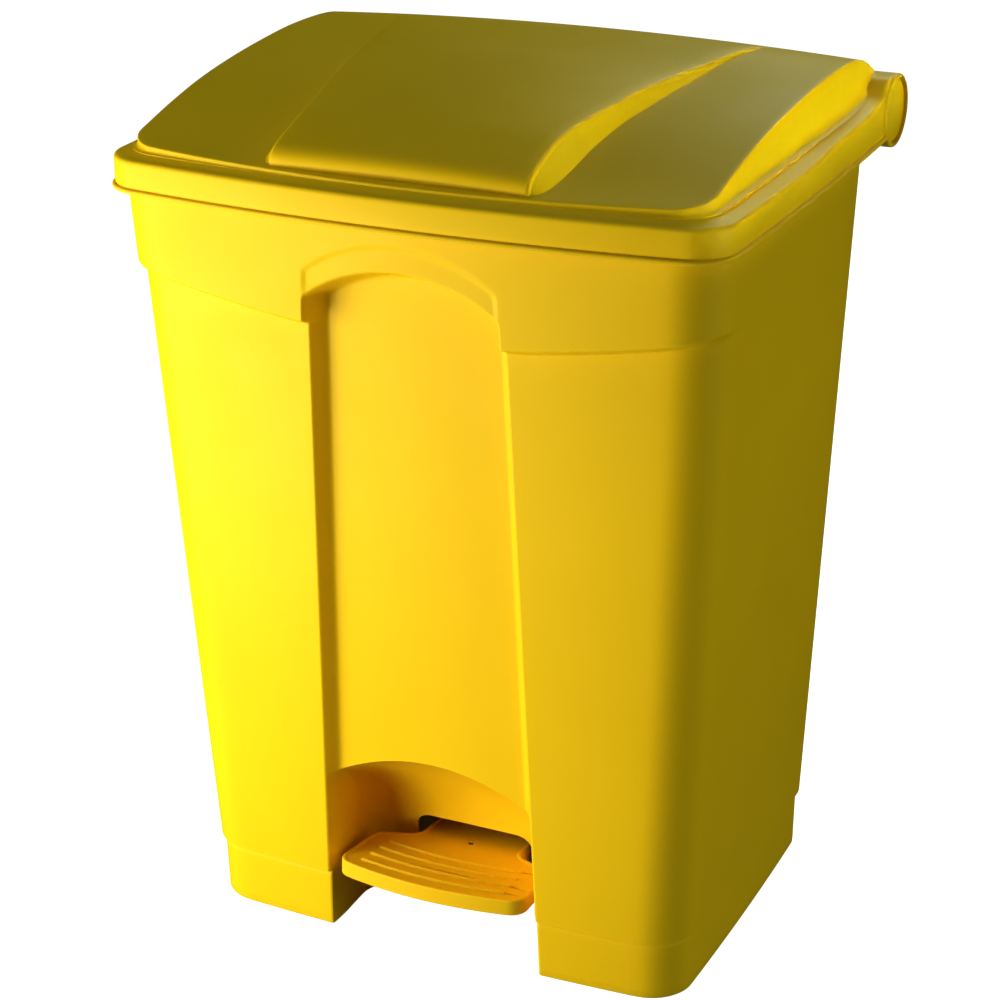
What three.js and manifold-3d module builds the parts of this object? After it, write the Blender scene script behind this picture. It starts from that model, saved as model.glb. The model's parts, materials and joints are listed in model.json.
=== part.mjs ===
// Pedal bin for clinical waste: a one-piece tub, a hinged lid, a foot pedal and the lift rod between them.
// Millimetres, +Z up. The origin is at the centre of the base, on the ground, and the front faces -Y.

import * as THREE from 'three';
import { mergeVertices } from 'three/addons/utils/BufferGeometryUtils.js';
import Module from 'manifold-3d';

const wasm = await Module();
wasm.setup();

// ---- driving dimensions ----

const GAP = 0.3;                    // clearance left between touching pieces
const WALL = 3.5;                   // tub wall thickness
const LID_WALL = 3;                 // lid wall thickness

const STEP_HEIGHT = 51.2;           // height of the inset foot round the base
const STEP_DEPTH = 3;               // how far the tub stands proud of the foot
const TUB_HEIGHT = 630;
const FOOT_HALF_WIDTH = 208.9;
const TUB_BASE_HALF_WIDTH = 213;
const SIDE_LEAN = 0.0524;           // outward lean of each side wall, mm per mm of height
const TUB_BASE_FRONT = -163;        // front wall at the step
const FRONT_LEAN = 0.0414;          // forward lean of the front wall
const NECK_Z = 616;                 // above this the rim steps in to sit inside the lid
const NECK_INSET = 3;
const TUB_REAR = 140;
const TUB_FRONT_RADIUS = 36;
const TUB_REAR_RADIUS = 30;
const TUB_FRONT_BOW = 7.6;
const TUB_SIDE_BOW = 2.5;
const FLOOR_BOTTOM = 80;
const FLOOR_TOP = 84;

const BAND_DEPTH = 10;              // the band that stands proud across the top of the front wall
const BAND_RADIUS = 26;             // its corners are tighter than the wall's
const BAND_TUCK = 0.3;              // its ends dive this far inside the side walls
const BAND_LOW = 531;               // its lower edge beside the recess
const BAND_RISE = 34;               // how far that edge climbs towards the corners
const BAND_RISE_REACH = 164;
const BAND_RISE_POWER = 2.3;
const BAND_END_Y = -105;            // it ends on the side walls, where it has sunk into them

const RECESS_HALF_BASE = 93.5;      // tall recess down the middle of the front
const RECESS_HALF_TOP = 79.3;
const RECESS_SPRING = 535;          // height where its arch starts
const RECESS_ARCH = 43;             // rise of the arch
const RECESS_ARCH_POWER = 2.8;
const RECESS_DRAFT = 7.5;           // taper of its sides between the wall and the sunk panel
const PANEL_DEPTH_TOP = 14;
const PANEL_DEPTH_BASE = 12;
const PANEL_BASE_HEIGHT = 150;

const NICHE_TOP = 165;              // scooped foot space under the recess
const NICHE_REAR = -84;
const NICHE_REACH = 72;
const NICHE_CORNER = 26;
const ARM_SLOT_HALF = 53;           // slot in the back of the foot space, for the pedal arm
const ARM_SLOT_TOP = 75;

const HINGE_Y = 184;
const HINGE_Z = 632;
const BARREL_RADIUS = 29;
const BARREL_HALF = 247.5;
const HINGE_ROD_RADIUS = 4;
const HINGE_ROD_HALF = 236;
const LUG_X = 150;                  // the two tub lugs that carry the hinge rod
const LUG_THICK = 12;

const LIP_Z = 616;                  // lower edge of the lid
const LIP_BEAD = 5;
const SKIRT_TOP = 636;
const LEDGE_Z = 639.2;
const LEDGE_INNER_Z = 643;
const LID_HALF_WIDTH = 250;
const LID_FRONT = -213.1;
const LID_REAR = 170;
const LID_FRONT_RADIUS = 34;
const LID_FRONT_BOW = 18.3;
const LID_SIDE_BOW = 5;
const LEDGE_WIDTH = 23;
const BONNET_HALF_FRONT = 110.5;    // raised centre panel of the lid, half its width at the nose
const BONNET_FLARE = 0.1316;        // and how much it widens towards the rear, mm per mm
const BONNET_NOSE_Y = -194;
const BARREL_OPEN_HALF = 175;       // the barrel is open below and in front over this half length
const WEB_X = [142, 158, 236];      // discs inside the barrel that carry the hinge rod
const WEB_HALF = 1.5;
const CHEEK_NEAR = 4;               // the two cheeks that carry the lift pin
const CHEEK_FAR = 8;

const LIFT_PIN_ARM = 30;            // lid crank: hinge axis to lift pin
const LID_OPEN = 75 * Math.PI / 180;
const ROD_Y = 157;                  // lift rod, standing behind the rear wall
const ROD_RADIUS = 3;
const PIN_RADIUS = 3;
const PIN_PLAY = 0.9;

const PIVOT_Y = 7;                  // pedal axle, under the raised floor
const PIVOT_Z = 45;
const PEDAL_TILT = -5.7 * Math.PI / 180;
const LEVER_REACH = 150;            // pedal axle to lever pin
const AXLE_RADIUS = 5;
const AXLE_HALF = 68;
const BEARING_X = 55;
const BEARING_HALF = 8;
const BEARING_PLATE = 66;           // underside of the bearing's mounting plate
const BEARING_SCREW_Y = [-11, 25];
const BOSS_BOTTOM = 70.3;

const GUIDE_HEIGHTS = { upper: 470, lower: 170 };
const GUIDE_SCREW_X = 15;
const GUIDE_BOSS_REAR = 146;
const GUIDE_PLATE = 4;
const GUIDE_HALF = 8;

const BOSS_RADIUS = 6;
const RUNNING_PLAY = 0.35;          // radial play of a shaft in its bore
const SCREW_RADIUS = 2;
const SCREW_HEAD_RADIUS = 4;
const SCREW_HOLE_RADIUS = 2.35;

const TREAD_HALF = 78;              // pedal, in its own tilted frame centred on the axle
const TREAD_FRONT = -184.5;
const TREAD_BACK = -112;
const TREAD_TOP = 6.3;
const TREAD_THICK = 13;
const TREAD_WALL = 3.5;
const TREAD_SKIN = 3;
const ARM_HALF = 45;
const ARM_END = -42;
const RIB_HEIGHT = 1.6;
const RIB_ROWS = 4;
const RIB_PITCH = 11;
const LEVER_SCREW_Y = [-100, -62];

const CHANNEL_HALF = 20;            // the lever, a pressed channel open below
const CHANNEL_WALL = 2.5;
const CHANNEL_FRONT = -150;
const CHANNEL_TOP = 9;
const CHANNEL_END = LEVER_REACH + 8;

const ROD_PLATE_HALF = 2.5;         // flat plates of the rod head and rod foot
const ROD_SOCKET_RADIUS = 5;

const CAP_RADIUS = 25.2;            // discs that close the ends of the hinge barrel
const CAP_SINK = 2;

const YELLOW = 0xf0c400;
const STEEL = 0xb8bcc0;
const DARK = 0x2a2a2a;

// ---- solids: plain meshes in and out of the boolean library ----

function toManifold(geometry) {
  const bare = geometry.clone();
  bare.deleteAttribute('normal');
  bare.deleteAttribute('uv');
  const merged = mergeVertices(bare, 1e-4);
  return new wasm.Manifold(new wasm.Mesh({
    numProp: 3,
    vertProperties: Float32Array.from(merged.attributes.position.array),
    triVerts: Uint32Array.from(merged.index.array),
  }));
}

function toGeometry(solid) {
  const mesh = solid.getMesh();
  const geometry = new THREE.BufferGeometry();
  geometry.setAttribute('position', new THREE.BufferAttribute(mesh.vertProperties, 3));
  geometry.setIndex(new THREE.BufferAttribute(mesh.triVerts, 1));
  geometry.computeVertexNormals();
  return geometry;
}

// Joins rings of equal length into one closed solid. The end rings are capped flat, seen along `cap`.
function loft(rings, cap = 'z') {
  const count = rings[0].length;
  const position = rings.flat(2);
  const index = [];
  const flat = (ring) => ring.map((p) => new THREE.Vector2(p[0], cap === 'z' ? p[1] : p[2]));
  for (let level = 0; level + 1 < rings.length; level++) {
    for (let i = 0; i < count; i++) {
      const a = level * count + i;
      const b = level * count + (i + 1) % count;
      index.push(a, b, b + count, a, b + count, a + count);
    }
  }
  const last = (rings.length - 1) * count;
  for (const [a, b, c] of THREE.ShapeUtils.triangulateShape(flat(rings[0]), [])) {
    index.push(c, b, a);
  }
  for (const [a, b, c] of THREE.ShapeUtils.triangulateShape(flat(rings.at(-1)), [])) {
    index.push(last + a, last + b, last + c);
  }
  const geometry = new THREE.BufferGeometry();
  geometry.setAttribute('position', new THREE.Float32BufferAttribute(position, 3));
  geometry.setIndex(index);
  return toManifold(geometry);
}

function shapeOf(points) {
  return new THREE.Shape(points.map(([u, v]) => new THREE.Vector2(u, v)));
}

function extrude(shape, depth) {
  return new THREE.ExtrudeGeometry(shape, { depth, bevelEnabled: false, curveSegments: 6 });
}

// Extrudes a (y, z) outline along X.
function extrudeX(shape, x0, x1) {
  const basis = new THREE.Matrix4().makeBasis(
    new THREE.Vector3(0, 1, 0), new THREE.Vector3(0, 0, 1), new THREE.Vector3(1, 0, 0));
  return toManifold(extrude(shape, x1 - x0).applyMatrix4(basis).translate(x0, 0, 0));
}

// Extrudes an (x, z) outline along Y.
function extrudeY(shape, y0, y1) {
  const basis = new THREE.Matrix4().makeBasis(
    new THREE.Vector3(1, 0, 0), new THREE.Vector3(0, 0, 1), new THREE.Vector3(0, -1, 0));
  return toManifold(extrude(shape, y1 - y0).applyMatrix4(basis).translate(0, y1, 0));
}

function extrudeZ(shape, z0, z1) {
  return toManifold(extrude(shape, z1 - z0).translate(0, 0, z0));
}

function box(x0, x1, y0, y1, z0, z1) {
  const geometry = new THREE.BoxGeometry(x1 - x0, y1 - y0, z1 - z0);
  return toManifold(geometry.translate((x0 + x1) / 2, (y0 + y1) / 2, (z0 + z1) / 2));
}

function cylinderX(radius, x0, x1, y, z, segments = 24) {
  const geometry = new THREE.CylinderGeometry(radius, radius, x1 - x0, segments);
  return toManifold(geometry.rotateZ(Math.PI / 2).translate((x0 + x1) / 2, y, z));
}

function cylinderY(radius, y0, y1, x, z, segments = 16) {
  const geometry = new THREE.CylinderGeometry(radius, radius, y1 - y0, segments);
  return toManifold(geometry.translate(x, (y0 + y1) / 2, z));
}

function cylinderZ(radius, z0, z1, x, y, segments = 16) {
  const geometry = new THREE.CylinderGeometry(radius, radius, z1 - z0, segments);
  return toManifold(geometry.rotateX(Math.PI / 2).translate(x, y, (z0 + z1) / 2));
}

function subtractAll(solid, tools) {
  return tools.reduce((left, tool) => left.subtract(tool), solid);
}

function addAll(solid, extras) {
  return extras.reduce((sum, extra) => sum.add(extra), solid);
}

// ---- scene graph helpers ----

const bin = new THREE.Group();
bin.name = 'pedal_bin';

function material(color, roughness, metalness) {
  return new THREE.MeshStandardMaterial({ color, roughness, metalness });
}

const FINISHES = {
  plastic: () => material(YELLOW, 0.5, 0),
  steel: () => material(STEEL, 0.35, 1),
  rubber: () => material(DARK, 0.8, 0),
  dark_plastic: () => material(DARK, 0.55, 0),
};

function place(parent, name, solid, finish) {
  const geometry = solid instanceof THREE.BufferGeometry ? solid : toGeometry(solid);
  const mesh = new THREE.Mesh(geometry, FINISHES[finish]());
  mesh.name = name;
  parent.add(mesh);
  return mesh;
}

// A round piece from an (r, h) profile that starts and ends on its axis, which runs along +Z.
function turned(profile, segments = 16) {
  const points = profile.map(([r, h]) => new THREE.Vector2(r, h));
  return new THREE.LatheGeometry(points, segments).rotateX(Math.PI / 2);
}

// A pan-head screw with its shank along +Z and the underside of its head at z = 0.
function screw(shankRadius, length, headRadius) {
  const head = headRadius * 0.6;
  return turned([
    [0, -head], [headRadius * 0.7, -head], [headRadius, -head * 0.5], [headRadius, 0],
    [shankRadius, 0], [shankRadius, length], [0, length],
  ], 10);
}

// A push-on retaining washer across X, centred on the axis.
function pushOnClip(boreRadius, outerRadius, thickness) {
  return cylinderX(outerRadius, -thickness / 2, thickness / 2, 0, 0, 14)
    .subtract(cylinderX(boreRadius, -thickness, thickness, 0, 0, 14));
}

// ---- plan outline shared by tub and lid: a rounded rectangle whose front and sides bow outwards ----

function planRing(plan, z) {
  const { half, front, rear, frontRadius, rearRadius, frontBow, sideBow } = plan;
  const corners = [
    [half - frontRadius, front + frontRadius, frontRadius, -90],
    [half - rearRadius, rear - rearRadius, rearRadius, 0],
    [-half + rearRadius, rear - rearRadius, rearRadius, 90],
    [-half + frontRadius, front + frontRadius, frontRadius, 180],
  ];
  const steps = [4, 1, 4, 8];
  const points = [];
  corners.forEach(([cx, cy, r, start], side) => {
    for (let i = 0; i <= 5; i++) {
      const angle = (start + i * 18) * Math.PI / 180;
      points.push([cx + r * Math.cos(angle), cy + r * Math.sin(angle)]);
    }
    const [nx, ny, nr, nextStart] = corners[(side + 1) % 4];
    const next = nextStart * Math.PI / 180;
    const [fromX, fromY] = points.at(-1);
    for (let i = 1; i < steps[side]; i++) {
      const t = i / steps[side];
      points.push([
        fromX + t * (nx + nr * Math.cos(next) - fromX),
        fromY + t * (ny + nr * Math.sin(next) - fromY),
      ]);
    }
  });
  const middle = (front + rear) / 2;
  const halfDepth = (rear - front) / 2;
  return points.map(([x, y]) => {
    const across = x / half;
    const along = (y - middle) / halfDepth;
    return [
      x * (1 - (sideBow / half) * along * along),
      y + frontBow * across * across * (1 - along) / 2,
      z,
    ];
  });
}

// ---- tub ----

function tubFront(z) {
  return TUB_BASE_FRONT - FRONT_LEAN * (z - STEP_HEIGHT);
}

function tubHalf(z) {
  return TUB_BASE_HALF_WIDTH + SIDE_LEAN * (z - STEP_HEIGHT);
}

function tubRing(z, inset, at = z) {
  return planRing({
    half: tubHalf(z) - inset,
    front: tubFront(z) + inset,
    rear: TUB_REAR - inset,
    frontRadius: TUB_FRONT_RADIUS - inset,
    rearRadius: TUB_REAR_RADIUS - inset,
    frontBow: TUB_FRONT_BOW,
    sideBow: TUB_SIDE_BOW,
  }, at);
}

function footRing(z, inset) {
  const base = TUB_BASE_HALF_WIDTH - FOOT_HALF_WIDTH;
  return tubRing(STEP_HEIGHT, STEP_DEPTH + (base - STEP_DEPTH) * (1 - z / STEP_HEIGHT) + inset, z);
}

// The plan of the band and of the rim above it.
function bandRing(z, inset) {
  return planRing({
    half: tubHalf(z) - inset - BAND_TUCK,
    front: tubFront(z) - BAND_DEPTH + inset,
    rear: TUB_REAR - inset,
    frontRadius: BAND_RADIUS - inset,
    rearRadius: TUB_REAR_RADIUS - inset,
    frontBow: TUB_FRONT_BOW,
    sideBow: TUB_SIDE_BOW,
  }, z);
}

// What lies above the band's lower edge, which climbs towards the corners, over the front of the tub.
function bandZone(inset, top) {
  const reach = tubHalf(NECK_Z) + 5;
  const samples = 24;
  const outline = [];
  for (let i = 0; i <= samples; i++) {
    const x = reach * (2 * i / samples - 1);
    const out = Math.max(0, (Math.abs(x) - RECESS_HALF_TOP) / BAND_RISE_REACH);
    outline.push([x, BAND_LOW + BAND_RISE * out ** BAND_RISE_POWER + inset]);
  }
  outline.push([reach, top], [-reach, top]);
  return extrudeY(shapeOf(outline), LID_FRONT, BAND_END_Y);
}

// The hollow of the tub above `z`, narrowed at the rim, on either plan.
function rimHollow(ring, z) {
  const rings = [ring(z, WALL), ring(NECK_Z - 12, WALL)];
  return loft([...rings, ring(NECK_Z - 4, NECK_INSET + WALL), ring(TUB_HEIGHT + 2, NECK_INSET + WALL)]);
}

function recessHalf(z) {
  return RECESS_HALF_BASE + (RECESS_HALF_TOP - RECESS_HALF_BASE) * z / RECESS_SPRING;
}

function panelDepth(z) {
  const up = (z - PANEL_BASE_HEIGHT) / (RECESS_SPRING - PANEL_BASE_HEIGHT);
  return PANEL_DEPTH_BASE + (PANEL_DEPTH_TOP - PANEL_DEPTH_BASE) * up;
}

// The recess outline seen from the front, grown outwards by `grow`, each point as [x, z].
function recessOutline(grow) {
  const points = [[recessHalf(0) + grow, -10]];
  const samples = 16;
  for (let i = 0; i <= samples; i++) {
    const angle = i * Math.PI / samples;
    const cos = Math.cos(angle);
    const reach = Math.abs(cos) ** (2 / RECESS_ARCH_POWER) * Math.sign(cos);
    const rise = Math.sin(angle) ** (2 / RECESS_ARCH_POWER);
    points.push([reach * (RECESS_HALF_TOP + grow), RECESS_SPRING + rise * (RECESS_ARCH + grow)]);
  }
  points.push([-recessHalf(0) - grow, -10]);
  return points;
}

function recessTool(grow) {
  const front = recessOutline(grow + 1).map(([x, z]) => [x, tubFront(z) - BAND_DEPTH * 2, z]);
  const wall = recessOutline(grow).map(([x, z]) => [x, tubFront(z), z]);
  const panel = recessOutline(grow - RECESS_DRAFT).map(([x, z]) => [x, tubFront(z) + panelDepth(z) + grow, z]);
  return loft([panel, wall, front], 'y');
}

function nicheRear(z) {
  return NICHE_REAR - NICHE_REACH * (Math.max(0, z) / NICHE_TOP) ** 4;
}

function nicheTool(grow) {
  const heights = [-6, 40, 75, 95, 112, 126, 138, 148, 156, 162, NICHE_TOP];
  return loft(heights.map((height) => {
    const z = height > 0 ? height + grow : height;
    return planRing({
      half: recessHalf(z) - 1.5 + grow,
      front: -240,
      rear: nicheRear(height) + grow,
      frontRadius: 5,
      rearRadius: NICHE_CORNER + grow + Math.max(0, height - 75) * 0.25,
      frontBow: 0,
      sideBow: 0,
    }, z);
  }));
}

function armSlot() {
  const shape = new THREE.Shape();
  const corner = 14;
  shape.moveTo(-ARM_SLOT_HALF, -5);
  shape.lineTo(ARM_SLOT_HALF, -5);
  shape.lineTo(ARM_SLOT_HALF, ARM_SLOT_TOP - corner);
  shape.absarc(ARM_SLOT_HALF - corner, ARM_SLOT_TOP - corner, corner, 0, Math.PI / 2);
  shape.absarc(corner - ARM_SLOT_HALF, ARM_SLOT_TOP - corner, corner, Math.PI / 2, Math.PI);
  return extrudeY(shape, NICHE_REAR - 22, NICHE_REAR + 8);
}

// One hinge lug: an arm that climbs back from the rear wall to the hinge axis.
function hingeLug(centre) {
  const arm = shapeOf([
    [TUB_REAR - NECK_INSET - 1, 575], [HINGE_Y - 18, HINGE_Z - 20], [HINGE_Y - 6, HINGE_Z - 9.2],
    [HINGE_Y - 2, HINGE_Z + 10.8], [HINGE_Y - 27, HINGE_Z - 3], [TUB_REAR - NECK_INSET - 1, 620],
  ]);
  const x0 = centre - LUG_THICK / 2;
  const x1 = centre + LUG_THICK / 2;
  return extrudeX(arm, x0, x1).add(cylinderX(11, x0, x1, HINGE_Y, HINGE_Z));
}

// Four solid pads under the foot, cut to its rounded outline.
function footPads() {
  const footprint = loft([footRing(0, 1), footRing(STEP_HEIGHT, 1)]);
  const half = 15;
  const height = 6;
  return [-1, 1].flatMap((side) => [[-136, -96], [84, 124]].map(([y0, y1]) => {
    const x = side * (FOOT_HALF_WIDTH - half - 2);
    return box(x - half, x + half, y0, y1, 0, height).intersect(footprint);
  }));
}

function tub() {
  const outer = loft([footRing(0, 0), footRing(STEP_HEIGHT, 0)])
    .add(loft([tubRing(STEP_HEIGHT, 0), tubRing(NECK_Z, 0)]))
    .add(loft([bandRing(BAND_LOW - 10, 0), bandRing(NECK_Z, 0)]).intersect(bandZone(0, NECK_Z)))
    .add(loft([bandRing(NECK_Z - 1, NECK_INSET), bandRing(TUB_HEIGHT, NECK_INSET)]));
  const recessSkin = recessTool(WALL);
  const nicheSkin = nicheTool(WALL);
  const bandHollow = rimHollow(bandRing, BAND_LOW - 10).intersect(bandZone(WALL, TUB_HEIGHT + 2));
  const inside = rimHollow(tubRing, FLOOR_TOP).add(bandHollow);
  const upper = subtractAll(inside, [recessSkin, nicheSkin]);
  const lower = loft([footRing(-2, WALL), footRing(STEP_HEIGHT, WALL), tubRing(STEP_HEIGHT + 3, WALL),
    tubRing(FLOOR_BOTTOM, WALL)]).subtract(nicheSkin);
  let solid = subtractAll(outer, [upper, lower, recessTool(0), nicheTool(0), armSlot()]);

  const bosses = [];
  const holes = [];
  for (const side of [-1, 1]) {
    for (const y of BEARING_SCREW_Y) {
      const x = side * BEARING_X;
      bosses.push(cylinderZ(BOSS_RADIUS, BOSS_BOTTOM, FLOOR_BOTTOM + 1, x, y));
      holes.push(cylinderZ(SCREW_HOLE_RADIUS, BOSS_BOTTOM - 1, FLOOR_BOTTOM + 0.5, x, y));
    }
    for (const z of Object.values(GUIDE_HEIGHTS)) {
      const x = side * GUIDE_SCREW_X;
      bosses.push(cylinderY(BOSS_RADIUS, TUB_REAR - 1, GUIDE_BOSS_REAR, x, z));
      holes.push(cylinderY(SCREW_HOLE_RADIUS, TUB_REAR - 2, GUIDE_BOSS_REAR + 1, x, z));
    }
  }
  const leverSlot = box(-CHANNEL_HALF - 2, CHANNEL_HALF + 2, TUB_REAR - 10, TUB_REAR + 1, 18, 77.5);
  const rodBore = cylinderX(HINGE_ROD_RADIUS + RUNNING_PLAY, -LUG_X - 20, LUG_X + 20, HINGE_Y, HINGE_Z);
  solid = addAll(solid, [...footPads(), ...bosses, hingeLug(LUG_X), hingeLug(-LUG_X)]);
  return subtractAll(solid, [...holes, leverSlot, rodBore]);
}

// ---- lid ----

function lidPlan(inset, rear, radius = LID_FRONT_RADIUS) {
  return {
    half: LID_HALF_WIDTH - inset,
    front: LID_FRONT + inset,
    rear: rear - inset,
    frontRadius: radius,
    rearRadius: 3,
    frontBow: LID_FRONT_BOW,
    sideBow: LID_SIDE_BOW,
  };
}

// Height of the lid's main crown along its depth.
const CROWN = [
  [-190, 645.5], [-160, 653], [-120, 663], [-76, 671.6], [-30, 677.5], [17, 681.5],
  [68, 684], [120, 682.5], [150, 677.5], [170, 669.5], [184, 661],
];
// The raised centre panel, from its rolled nose to where it runs into the crown.
const BONNET = [
  [-197, 643], [-203, 651], [-204, 661], [-199, 670], [-186, 676], [-164, 681.7], [-119.5, 689],
  [-75.9, 692.2], [-30.4, 694], [17.1, 693], [65.6, 690], [116, 684.5], [150, 677.6],
];

function crownSolid(inset) {
  const profile = shapeOf([
    [LID_FRONT, 630], ...CROWN.map(([y, z]) => [y, z - inset]),
    [HINGE_Y - 2, 640], [TUB_REAR, 630],
  ].reverse());
  const plan = lidPlan(LEDGE_WIDTH + inset - 2, HINGE_Y + 20, 24);
  const side = loft([630, 700].map((z) => planRing(plan, z)));
  return extrudeX(profile, -LID_HALF_WIDTH, LID_HALF_WIDTH).intersect(side);
}

function bonnetSolid(inset) {
  const profile = shapeOf([
    ...BONNET.map(([y, z]) => [y < -190 ? y + inset : y, z - (y < -190 ? 0 : inset)]),
    [150, 636], [-190, 636],
  ].reverse());
  const widthAt = (y) => BONNET_HALF_FRONT + BONNET_FLARE * (y - BONNET_NOSE_Y) - inset;
  const plan = shapeOf([
    [-widthAt(-215), -215], [widthAt(-215), -215], [widthAt(160), 160], [-widthAt(160), 160],
  ]);
  return extrudeX(profile, -LID_HALF_WIDTH, LID_HALF_WIDTH).intersect(extrudeZ(plan, 630, 700));
}

function lidBase(inset) {
  const t = inset;
  const low = t > 0 ? LIP_Z - 5 : LIP_Z;
  const bead = t > 0 ? 2 : 0;
  return loft([
    planRing(lidPlan(t + bead, LID_REAR), low),
    planRing(lidPlan(t + bead, LID_REAR), LIP_Z + LIP_BEAD),
    planRing(lidPlan(t + 2, LID_REAR), LIP_Z + LIP_BEAD + 1),
    planRing(lidPlan(t + 2, LID_REAR), SKIRT_TOP - t),
    planRing(lidPlan(t + 5, LID_REAR), LEDGE_Z - t),
    planRing(lidPlan(t + LEDGE_WIDTH + 2, LID_REAR), LEDGE_INNER_Z - t),
  ]);
}

function sectorX(radius, fromDegrees, toDegrees, x0, x1) {
  const shape = new THREE.Shape();
  const at = (degrees) => Math.PI - degrees * Math.PI / 180;
  shape.moveTo(HINGE_Y, HINGE_Z);
  shape.lineTo(HINGE_Y + radius * Math.cos(at(fromDegrees)), HINGE_Z + radius * Math.sin(at(fromDegrees)));
  shape.absarc(HINGE_Y, HINGE_Z, radius, at(fromDegrees), at(toDegrees), false);
  return extrudeX(shape, x0, x1);
}

// Where the lift pin sits with the lid shut: half the opening angle below the hinge's level.
function restPin() {
  const angle = -LID_OPEN / 2;
  return { y: HINGE_Y - LIFT_PIN_ARM * Math.cos(angle), z: HINGE_Z + LIFT_PIN_ARM * Math.sin(angle) };
}

function lid() {
  const outer = addAll(lidBase(0), [crownSolid(0), bonnetSolid(0)]);
  const inner = addAll(lidBase(LID_WALL), [crownSolid(LID_WALL), bonnetSolid(LID_WALL)]);
  const barrel = cylinderX(BARREL_RADIUS, -BARREL_HALF, BARREL_HALF, HINGE_Y, HINGE_Z, 32);
  const bore = cylinderX(BARREL_RADIUS - LID_WALL, -BARREL_HALF - 1, BARREL_HALF + 1, HINGE_Y, HINGE_Z, 32);
  const cavity = inner.subtract(barrel);
  const opening = box(-BARREL_HALF + 5, BARREL_HALF - 5, TUB_REAR - 6, HINGE_Y + 6, 560, HINGE_Z - 1);
  let solid = outer.add(barrel).subtract(cavity).subtract(bore);
  solid = solid.subtract(opening.subtract(barrel));
  solid = solid.subtract(sectorX(BARREL_RADIUS + 12, 2, -130, -BARREL_OPEN_HALF, BARREL_OPEN_HALF));

  const webs = WEB_X.flatMap((x) => [-x, x]).map((x) => (
    cylinderX(BARREL_RADIUS - LID_WALL / 2, x - WEB_HALF, x + WEB_HALF, HINGE_Y, HINGE_Z, 32)));
  const pin = restPin();
  const cheekShape = shapeOf([
    [pin.y - 7, pin.z - 4], [pin.y - 2, pin.z - 7.5], [pin.y + 5, pin.z - 4], [HINGE_Y - 10, HINGE_Z - 4],
    [HINGE_Y - 8, HINGE_Z + 8], [HINGE_Y + 4, HINGE_Z + 27], [HINGE_Y - 36, 652], [HINGE_Y - 36, 640],
  ]);
  const cheeks = [[CHEEK_NEAR, CHEEK_FAR], [-CHEEK_FAR, -CHEEK_NEAR]].map(([x0, x1]) => (
    extrudeX(cheekShape, x0, x1)));
  const rodReach = HINGE_ROD_HALF + 2;
  solid = addAll(solid, [...webs, ...cheeks]);
  return subtractAll(solid, [
    cylinderX(HINGE_ROD_RADIUS + RUNNING_PLAY, -rodReach, rodReach, HINGE_Y, HINGE_Z),
    cylinderX(PIN_RADIUS + GAP, -CHEEK_FAR - 4, CHEEK_FAR + 4, pin.y, pin.z, 20),
  ]);
}

// ---- pedal and lever, in the pedal's own frame ----

function treadShape(inset) {
  const half = TREAD_HALF - inset;
  const arm = ARM_HALF - inset;
  const front = TREAD_FRONT + inset;
  const corner = 15 - inset;
  const shape = new THREE.Shape();
  shape.moveTo(-arm, ARM_END - inset);
  shape.lineTo(-arm, TREAD_BACK + 12);
  shape.quadraticCurveTo(-arm, TREAD_BACK + 4 - inset, -arm - 10, TREAD_BACK + 1 - inset);
  shape.lineTo(-half + 7, TREAD_BACK - 5 - inset);
  shape.quadraticCurveTo(-half, TREAD_BACK - 8 - inset, -half, TREAD_BACK - 16 - inset);
  shape.lineTo(-half, front + 18 + corner);
  shape.quadraticCurveTo(-half + 1, front + 16, -half + corner, front + 10);
  shape.quadraticCurveTo(0, front - 10, half - corner, front + 10);
  shape.quadraticCurveTo(half - 1, front + 16, half, front + 18 + corner);
  shape.lineTo(half, TREAD_BACK - 16 - inset);
  shape.quadraticCurveTo(half, TREAD_BACK - 8 - inset, half - 7, TREAD_BACK - 5 - inset);
  shape.lineTo(arm + 10, TREAD_BACK + 1 - inset);
  shape.quadraticCurveTo(arm, TREAD_BACK + 4 - inset, arm, TREAD_BACK + 12);
  shape.lineTo(arm, ARM_END - inset);
  return shape;
}

// A grip rib that follows the bow of the tread's front edge.
function gripRib(row) {
  const half = 68 - row * 1.5;
  const y = TREAD_FRONT + 15 + row * RIB_PITCH;
  const outline = new THREE.Shape();
  outline.moveTo(-half, y + 7);
  outline.quadraticCurveTo(0, y - 7, half, y + 7);
  outline.lineTo(half, y + 9.5);
  outline.quadraticCurveTo(0, y - 4.5, -half, y + 9.5);
  return extrudeZ(outline, TREAD_TOP - 0.5, TREAD_TOP + RIB_HEIGHT);
}

function pedalMoulding() {
  let solid = extrudeZ(treadShape(0), TREAD_TOP - TREAD_THICK, TREAD_TOP);
  solid = solid.subtract(extrudeZ(treadShape(TREAD_WALL), TREAD_TOP - TREAD_THICK - 1, TREAD_TOP - TREAD_SKIN));
  solid = addAll(solid, Array.from({ length: RIB_ROWS }, (_, row) => gripRib(row)));
  const leverWay = CHANNEL_HALF + 1;
  const skirtGap = box(-leverWay, leverWay, ARM_END - 8, ARM_END + 2, -8, TREAD_TOP - TREAD_SKIN);
  const holes = LEVER_SCREW_Y.map((y) => cylinderZ(SCREW_HOLE_RADIUS, -2, TREAD_TOP + 3, 0, y));
  return subtractAll(solid, [skirtGap, ...holes]);
}

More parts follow.
